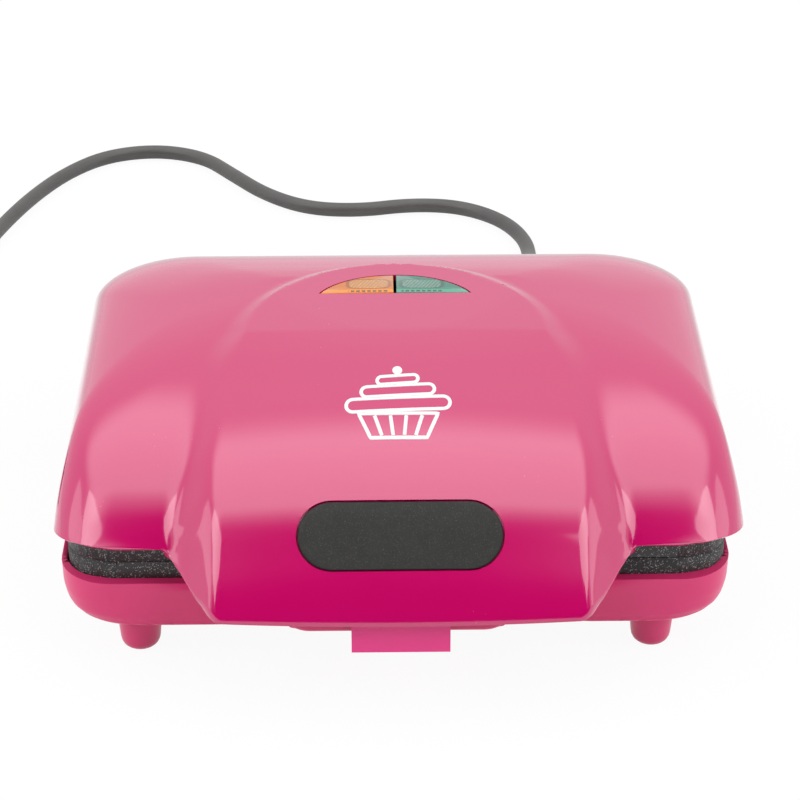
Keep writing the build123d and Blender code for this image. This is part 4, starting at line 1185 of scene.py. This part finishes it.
@dataclass
class Emblem:
    """Line drawing in paint, laid on the tongue's top.

    The drawing's own units are millimetres as they appear from the front: across, and up
    the foreshortened top. stretch turns the second into real millimetres.
    """

    form: LidForm
    foot_y: float = 23.0
    stretch: float = 1.44
    line: float = 1.3
    film: float = 0.06
    # Corners of the case, foot and top of a pleat at the case's side, and the pleats' shares
    case: Pairs = ((-14.2, 9.6), (-10.0, 0.6), (10.0, 0.6), (14.2, 9.6))
    pleat: Pairs = ((10.0, 1.4), (14.2, 8.8))
    pleat_shares: Tuple[float, ...] = (-0.6, -0.2, 0.2, 0.6)
    # Turns of icing: half width, low, high and tilt
    turns: Table = (
        (18.6, 10.9, 16.0, 0.035), (13.2, 16.9, 21.2, 0.05), (7.4, 22.0, 25.4, 0.07),
    )
    cherry: Pair = (0.0, 27.7)
    cherry_radius: float = 1.8
    # Longest steps along straight and along rounded lines
    straight_step: float = 0.8
    round_step: float = 1.2

    def lay(self, across: Array, up: Array) -> Array:
        """Put drawing points on the lid's surface, a film above it."""
        y = self.foot_y + up * self.stretch
        return np.stack([across, y, self.form.height_over(across, y) + self.film], axis=-1)

    def stroke(self, name: str, path: Array, closed: bool) -> None:
        """Ribbon of the line's width along a path, square to it in the drawing."""
        ahead = np.roll(path, -1, axis=0) - path
        behind = path - np.roll(path, 1, axis=0)
        if not closed:
            ahead[-1], behind[0] = behind[-1], ahead[0]
        along = unit(unit(ahead) + unit(behind))
        side = np.stack([-along[:, 1], along[:, 0]], axis=-1) * self.line / 2
        shares = np.array([-1.0, 0.0, 1.0])
        flat = path[:, None, :] + side[:, None, :] * shares[None, :, None]
        points = self.lay(flat[..., 0], flat[..., 1])
        faces = grid_faces(points.shape[0], points.shape[1], closed, False)
        self.painted(name, points, faces)

    def painted(self, name: str, points: Array, faces: Array) -> None:
        """Finish a paint surface: a thin film downwards from it, riding on the lid."""
        piece = mesh_piece(name, points, faces, Shading.SOFT)
        facing = np.array([polygon.normal.z for polygon in piece.data.polygons]).mean()
        if facing < 0:
            piece.data.flip_normals()
        film = piece.modifiers.new("film", "SOLIDIFY")
        film.thickness = self.film * MM * 1.5
        film.offset = -1.0
        settle(piece)
        EMBLEM_PAINT.dress(piece)
        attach(piece, "lid")

    def box(self, half: float, low: float, high: float, corner: float) -> Array:
        """Rounded rectangle as a closed path of quarter circles."""
        angle = np.linspace(0, pi / 2, 8)
        quarters = []
        for number, (sx, sy) in enumerate(((1, -1), (1, 1), (-1, 1), (-1, -1))):
            centre = np.array([sx * (half - corner), high - corner if sy > 0 else low + corner])
            turn = angle + (number - 1) * pi / 2
            quarters.append(centre + corner * np.stack([np.cos(turn), np.sin(turn)], axis=-1))
        return fill_gaps(np.concatenate(quarters), self.round_step, True)

    def swirl(self, half: float, low: float, high: float, tilt: float) -> Array:
        """One turn of icing: a long rounded form that rises to the right."""
        path = self.box(half, low, high, (high - low) / 2 - 0.05)
        path[:, 1] += tilt * path[:, 0]
        return path

    def disc(self, name: str, centre: Pair, radius: float) -> None:
        """Filled round of paint."""
        angle = np.linspace(0, 2 * pi, 40, endpoint=False)
        share = np.linspace(0, 1, 5)[:, None]
        across = centre[0] + radius * share * np.cos(angle)
        up = centre[1] + radius * share * np.sin(angle)
        points = self.lay(across, up)
        self.painted(name, points, grid_faces(*across.shape, False, True))

    def build(self) -> None:
        """Paint the pleated case, three turns of icing and the cherry."""
        case = fill_gaps(np.array(self.case), self.straight_step, True)
        self.stroke("emblem_case", case, True)
        for number, share in enumerate(self.pleat_shares):
            pleat = fill_gaps(np.array(self.pleat) * (share, 1.0), self.straight_step, False)
            self.stroke(f"emblem_pleat_{number}", pleat, False)
        for number, (half, low, high, tilt) in enumerate(self.turns):
            self.stroke(f"emblem_icing_{number}", self.swirl(half, low, high, tilt), True)
        self.disc("emblem_cherry", self.cherry, self.cherry_radius)
        log.info("emblem")


def reshaped(node: str, name: str, move: Callable[[Array], Array]) -> Piece:
    """Copy of a solid's mesh with its points moved.

    Args:
        node: the solid's name.
        name: the copy's name.
        move: function from (n, 3) drawing millimetres to the same, moved.

    Returns:
        The new object at the origin.
    """
    bpy.context.view_layer.update()
    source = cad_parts[node]
    mesh = source.data.copy()
    mesh.transform(source.matrix_world)
    flat = np.zeros(len(mesh.vertices) * 3)
    mesh.vertices.foreach_get("co", flat)
    drawn = flat.reshape(-1, 3) / MM + (0.0, MIDDLE_Y, 0.0)
    mesh.vertices.foreach_set("co", place(move(drawn)).ravel())
    mesh.update()
    mesh.materials.clear()
    piece = added(name, mesh)
    weld(piece)
    shade(piece, Shading.CREASED)
    return piece


def ease(values: Array, low: float, high: float) -> Array:
    """Smooth rise from 0 at low to 1 at high: 3 s^2 - 2 s^3 of the share s between them."""
    share = np.clip((values - low) / (high - low), 0, 1)
    return share * share * (3 - 2 * share)


def unit(ways: Array) -> Array:
    """Rows of a table of vectors, each made one long."""
    return ways / np.linalg.norm(ways, axis=1, keepdims=True)


def fill_gaps(path: Array, step: float, closed: bool) -> Array:
    """Path with points added evenly wherever two lie further apart than a step."""
    following = np.roll(path, -1, axis=0) if closed else path[1:]
    starts = path if closed else path[:-1]
    parts = []
    for start, end in zip(starts, following):
        count = max(1, int(np.ceil(np.linalg.norm(end - start) / step)))
        share = np.arange(count)[:, None] / count
        parts.append(start + (end - start) * share)
    if not closed:
        parts.append(path[-1:])
    return np.concatenate(parts)


@dataclass
class Latch:
    """Front clip that swings under the handle."""

    def build(self) -> None:
        """Dress the clip."""
        LATCH_PLASTIC.dress(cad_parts["latch_clip"])


@dataclass
class Base:
    """Tray with its front shelf, plate, heater, controls, hinge pins and feet."""

    top: float = 33.5
    drawn_bottom: float = 18.0
    bottom: float = 14.2
    shift: float = -1.2
    # The outline: half width, front, rear, and the corners' radii in front and behind
    half: float = 120.0
    front: float = 3.0
    rear: float = 217.0
    corner_radii: Pair = (19.0, 36.0)
    middle: float = 110.0
    # How far the shelf stays behind the clip's swing, and where, in front of Y = 0
    shelf_back: float = 1.8
    shelf_zone: Pair = (11.0, 14.0)
    # Half widths over which the sides grow fuller, and the same of the front beside the shelf
    side_zone: Pair = (92.0, 112.0)
    beside_shelf: Pair = (40.0, 60.0)
    # Where the front grows fuller, in front of Y = 0
    front_zone: Pair = (-24.0, -8.0)
    # The rim round the plate: its inner depth in the outline and its lowest height
    rim_depth: float = 2.9
    rim_low: float = 30.0
    # The ear beside the sleeve: its sides, where it starts behind, and its loss of height
    ear_sides: Pair = (21.0, 34.0)
    ear_zone: Pair = (216.0, 222.0)
    ear_loss: float = 0.28
    # Share of the height below the edge against side inset, as drawn in the solid and as shown
    drawn_inset: Pairs = (
        (0.0, 0.0), (0.30, 0.6), (0.58, 1.8), (0.82, 4.5), (1.0, 10.0),
    )
    shown_inset: Pairs = (
        (0.0, 0.0), (0.35, 0.2), (0.60, 0.6), (0.78, 1.6), (0.90, 3.6), (1.0, 7.5),
    )
    foot_x: float = 92.6
    foot_rows: Tuple[Tuple[str, float], ...] = (("front", 16.0), ("rear", 196.0))
    foot_profile: Triples = (
        (0.0, 0.0, 0.0), (6.9, 0.0, 4.0), (8.4, 16.4, 0.0), (0.0, 16.4, 0.0),
    )

    def build(self) -> None:
        """Make the tray, plate and feet, and dress the rest."""
        dress_solids((
            (SHEATH, ("lower_heating_element",)),
            (BRIGHT_SHEET, ("lower_reflector",)),
            (ZINC, ("base_screws", "hinge_pin_left", "hinge_pin_right", "thermostat")),
            (PALE, ("thermal_fuse", "terminal_block")),
            (CORD_SKIN, ("link_lead", "strain_relief")),
        ))
        plate = reshaped("lower_plate", "lower_plate_cast", widened_plate)
        self.finished(plate, NONSTICK, "lower_plate")
        tray = reshaped("base_cover", "base_tray", self.tray_point)
        self.finished(tray, TRAY_PLASTIC, "base_cover")
        self.feet()
        log.info("base")

    def finished(self, piece: Piece, finish: Finish, node: str) -> None:
        """Dress a piece that rides on the base and takes a solid's place."""
        finish.dress(piece)
        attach(piece, "base")
        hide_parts(node)

    def depth_inside(self, x: Array, y: Array) -> Array:
        """Distance inside the outline: corner radius less the distance to its arc's centre."""
        radius = np.where(y < self.middle, *self.corner_radii)
        across = np.maximum(np.abs(x) - (self.half - radius), 0)
        along = np.maximum(np.maximum(self.front + radius - y, y - (self.rear - radius)), 0)
        return radius - np.hypot(across, along)

    def tray_point(self, points: Array) -> Array:
        """Tray as shown: deeper, fuller below, with a thin edge round the plate.

        A point's share is its depth under the edge over the drawn height. Its inset there
        changes from the drawn curve to the shown one, and its height is stretched.
        """
        x, y, z = points[:, 0], points[:, 1], points[:, 2]
        share = np.clip((self.top - z) / (self.top - self.drawn_bottom), 0, 1)
        drawn, shown = np.array(self.drawn_inset), np.array(self.shown_inset)
        fuller = np.interp(share, drawn[:, 0], drawn[:, 1]) - np.interp(share, shown[:, 0], shown[:, 1])
        rim = (self.depth_inside(x, y) > self.rim_depth) * (z > self.rim_low)
        thin = SIDE_SPREAD * ease(np.abs(x), *SIDE_ZONE) * rim
        outward = fuller * ease(np.abs(x), *self.side_zone) + thin
        forward = fuller * ease(-y, *self.front_zone) * ease(np.abs(x), *self.beside_shelf)
        moved = points.copy()
        moved[:, 0] += np.sign(x) * outward + self.shift
        moved[:, 1] += self.shelf_back * ease(-y, *self.shelf_zone) - forward
        moved[:, 2] -= (self.drawn_bottom - self.bottom) * share
        left, right = self.ear_sides
        ear = ease(y, *self.ear_zone) * (x > left) * (x < right)
        moved[:, 2] -= ear * self.ear_loss * np.maximum(z - HINGE_Z, 0)
        return moved

    def feet(self) -> None:
        """Four turned feet, each a cone with a rounded sole."""
        profile = rounded(self.foot_profile)
        for row, y in self.foot_rows:
            for side, word in ((-1, "left"), (1, "right")):
                name = f"foot_{row}_{word}"
                centre = (side * self.foot_x + self.shift, y, 0.0)
                piece = turned(name + "_turned", profile, centre)
                self.finished(piece, TRAY_PLASTIC, name)


@dataclass
class MainsCord:
    """Free cord along the table, with its plug and pins."""

    diameter: float = 6.8
    length: float = 622.0
    # The same route as the solid's, in millimetres of the fixed frame
    route: Triples = (
        (61.0, 144.0, 24.5), (61.0, 168.0, 24.5), (63.0, 192.0, 14.5), (66.0, 217.0, 3.6),
        (65.0, 241.0, 3.6), (54.5, 263.5, 3.6), (35.0, 278.5, 3.6), (11.0, 281.0, 3.6),
        (-14.0, 274.5, 3.6), (-39.0, 277.5, 3.6), (-60.0, 294.0, 3.6), (-77.0, 318.0, 3.6),
        (-92.0, 339.5, 3.6), (-116.0, 349.0, 3.6), (-141.5, 342.5, 3.6), (-159.5, 322.5, 3.6),
        (-173.0, 296.0, 3.6), (-184.0, 265.0, 3.6), (-192.5, 232.0, 3.6), (-198.0, 198.5, 4.0),
        (-201.0, 164.5, 7.5), (-202.5, 131.0, 14.5), (-203.5, 104.0, 18.6), (-203.5, 82.0, 18.6),
    )

    def build(self) -> None:
        curve = bpy.data.curves.new("mains_cord", "CURVE")
        curve.dimensions = "3D"
        line = curve.splines.new("NURBS")
        line.points.add(len(self.route) - 1)
        flat = np.column_stack([np.array(self.route) * MM, np.ones(len(self.route))])
        line.points.foreach_set("co", flat.ravel())
        line.order_u = 3
        line.use_endpoint_u = True
        line.resolution_u = 12
        curve.bevel_depth = self.diameter * MM / 2
        curve.bevel_resolution = 6
        curve.use_fill_caps = True
        piece = added("mains_cord", curve)
        CORD_SKIN.dress(piece)
        piece.visible_glossy = False
        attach(piece, "base")
        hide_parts("cord")
        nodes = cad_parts
        PLUG_SKIN.dress(nodes["plug"])
        PIN_METAL.dress(nodes["plug_pins"])
        log.info("mains cord")


@dataclass
class Studio:
    """Camera, floor and a white tent of light that is dark towards the camera."""

    camera_place: Triple = (-0.01211, -0.8759, 0.536)
    camera_tilt: float = 61.0
    camera_yaw: float = -0.9
    lens: float = 117.1
    sensor: float = 36.0
    # The floor's half side and height in metres, and the share by which it shows plain white
    floor_half: float = 6.0
    floor_z: float = -0.0002
    floor_glow: float = 0.94
    # Its loss of light in mirrored views and where behind the cooker that sets in, in metres
    floor_loss: float = 0.25
    floor_zone: Pair = (0.13, 0.30)
    # Radiance of the tent low down and overhead, as diffuse surfaces meet it
    tent: float = 0.90
    overhead: float = 1.85
    # Share upwards over which the light overhead sets in, soft and as glossy rays meet it
    soft_zone: Pair = (0.25, 0.85)
    edged_zone: Pair = (0.71, 0.85)
    # Radiance that glossy rays meet below and above that edge
    mirrored: Pair = (1.10, 2.7)
    dark: float = 0.015
    # Elevation of the dark part's middle, its reach and the width of its edge, in degrees
    dark_up: float = 8.0
    dark_reach: float = 52.0
    dark_edge: float = 20.0
    # Windows on both sides: azimuth, elevation, width, height, all in degrees, and radiance
    windows: Table = (
        (44.0, 44.5, 37.0, 19.0, 3.4),
        (82.0, 24.0, 22.0, 30.0, 1.4),
    )
    window_edge: float = 0.015
    # Lamps on both sides: name, place on the right, size and radiance
    lamp_rows: Tuple[Tuple[str, Tuple[float, ...], Pair, float], ...] = (
        ("front", (0.95, -0.95, 1.05), (0.80, 0.62), 2.8),
        ("side", (1.55, -0.35, 0.62), (0.50, 0.60), 3.0),
    )

    def build(self) -> None:
        """Make the camera, the floor, the world and the lamps."""
        self.camera()
        self.floor()
        self.world()
        self.lamps()
        bpy.context.scene.view_settings.view_transform = "Standard"

    def camera(self) -> None:
        """Camera at the photograph's place."""
        data = bpy.data.cameras.new("camera")
        data.lens = self.lens
        data.sensor_width = self.sensor
        made = added("camera", data)
        made.location = self.camera_place
        made.rotation_euler = (radians(self.camera_tilt), 0.0, radians(self.camera_yaw))
        bpy.context.scene.camera = made

    def seen(self, recipe: Recipe) -> Socket:
        """1 for rays that show the background: camera, glossy and transmission rays."""
        names = ("Is Camera Ray", "Is Glossy Ray", "Is Transmission Ray")
        first, second, third = (recipe.ray(name) for name in names)
        return recipe.node("ShaderNodeClamp", {}, {0: first + second + third})

    def floor(self) -> None:
        """White floor that keeps a faint soft shadow."""
        side, low = self.floor_half, self.floor_z
        mesh = bpy.data.meshes.new("floor")
        corners = [(-side, -side, low), (side, -side, low), (side, side, low), (-side, side, low)]
        mesh.from_pydata(corners, [], [(0, 1, 2, 3)])
        plane = added("floor", mesh)
        material = bpy.data.materials.new("floor_paper")
        recipe = Recipe(material, "ShaderNodeBsdfPrincipled")
        recipe.set(Base_Color=(0.9, 0.9, 0.9), Roughness=0.95)
        _, away, _ = recipe.axes()
        loss = recipe.ray("Is Glossy Ray") * away.step(*self.floor_zone) * self.floor_loss
        white = recipe.blend(loss, (1.0, 1.0, 1.0), (0.0, 0.0, 0.0))
        glow = recipe.node("ShaderNodeEmission", {}, {"Color": white, "Strength": 1.0})
        paper = Socket(recipe, recipe.shader.outputs[0])
        share = self.seen(recipe) * self.floor_glow
        mixed = recipe.node("ShaderNodeMixShader", {}, {0: share, 1: paper, 2: glow})
        recipe.feed(recipe.output.inputs["Surface"], mixed)
        mesh.materials.append(material)

    def world(self) -> None:
        """White tent: full strength all round but for a dark round part in front.

        The dark part's mask is the cosine between a ray and the part's middle, stepped
        between the cosines of its two edges. Camera rays see plain white.
        """
        world = bpy.data.worlds.new("studio")
        bpy.context.scene.world = world
        recipe = Recipe(world, "ShaderNodeBackground")
        way = recipe.node("ShaderNodeTexCoord", {}, {}, "Generated")
        up = radians(self.dark_up)
        middle = (0.0, -cos(up), sin(up))
        cosine = recipe.dot(way, middle)
        outer, inner = self.dark_reach + self.dark_edge / 2, self.dark_reach - self.dark_edge / 2
        mask = cosine.step(cos(radians(outer)), cos(radians(inner)))
        upward = recipe.dot(way, (0.0, 0.0, 1.0))
        glossy = recipe.ray("Is Glossy Ray")
        soft_sky = upward.step(*self.soft_zone) * (self.overhead - self.tent) + self.tent
        below, above = self.mirrored
        edged_sky = upward.step(*self.edged_zone) * (above - below) + below
        sky = soft_sky + glossy * (edged_sky - soft_sky)
        tent = sky - mask * (sky - self.dark)
        for turn, rise, wide, high, glow in self.windows:
            for side in (-1, 1):
                pane = self.pane(recipe, way, side * turn, rise, wide, high)
                tent = tent + pane * glossy * glow
        recipe.set(Strength=tent + recipe.ray("Is Camera Ray") * (1.0 - tent))

    def pane(
        self, recipe: Recipe, way: Socket, turn: float, rise: float, wide: float, high: float
    ) -> Socket:
        """1 inside a flat window far away.

        Args:
            recipe: the world's tree.
            way: direction of the ray.
            turn: azimuth of the window's middle from the front, in degrees, right positive.
            rise: its elevation in degrees.
            wide: its width as seen from the object, in degrees.
            high: its height, the same.

        Returns:
            The mask: both shares of the ray along the window's own axes lie within its reach.
        """
        turn, rise = radians(turn), radians(rise)
        ahead = (sin(turn) * cos(rise), -cos(turn) * cos(rise), sin(rise))
        beside = (cos(turn), sin(turn), 0.0)
        above = (-sin(turn) * sin(rise), cos(turn) * sin(rise), cos(rise))
        depth, across, up = (recipe.dot(way, axis) for axis in (ahead, beside, above))
        mask = depth.step(0.0, 0.01)
        for part, reach in ((across, wide), (up, high)):
            limit = tan(radians(reach / 2))
            size = abs(part / depth)
            mask = mask * (1.0 - size.step(limit - self.window_edge, limit + self.window_edge))
        return mask

    def lamp(
        self, name: str, spot: Sequence[float], aim: Sequence[float], size: Sequence[float], glow: float
    ) -> None:
        """Rectangular soft light that points from one place to another.

        Args:
            name: the lamp's name.
            spot: where its middle is, in metres.
            aim: the point that it faces.
            size: its width and height in metres.
            glow: its radiance; the power is radiance times pi times area.
        """
        data = bpy.data.lights.new(name, "AREA")
        data.shape = "RECTANGLE"
        data.size, data.size_y = size
        data.energy = glow * pi * size[0] * size[1]
        made = added(name, data)
        made.location = spot
        made.visible_glossy = False
        made.rotation_euler = (Vector(aim) - Vector(spot)).to_track_quat("-Z", "Y").to_euler()

    def lamps(self) -> None:
        """Soft lights in front on both sides, which mirror in nothing."""
        middle = (0.0, 0.0, 0.05)
        for side, word in ((-1, "left"), (1, "right")):
            for name, (x, y, z), size, glow in self.lamp_rows:
                self.lamp(f"{name}_{word}", (side * x, y, z), middle, size, glow)


def main() -> None:
    """Build the studio, then the object's sub-assemblies in order."""
    Studio().build()
    MainsCord().build()
    Base().build()
    Latch().build()
    Lid().build()


if __name__ == "__main__":
    main()
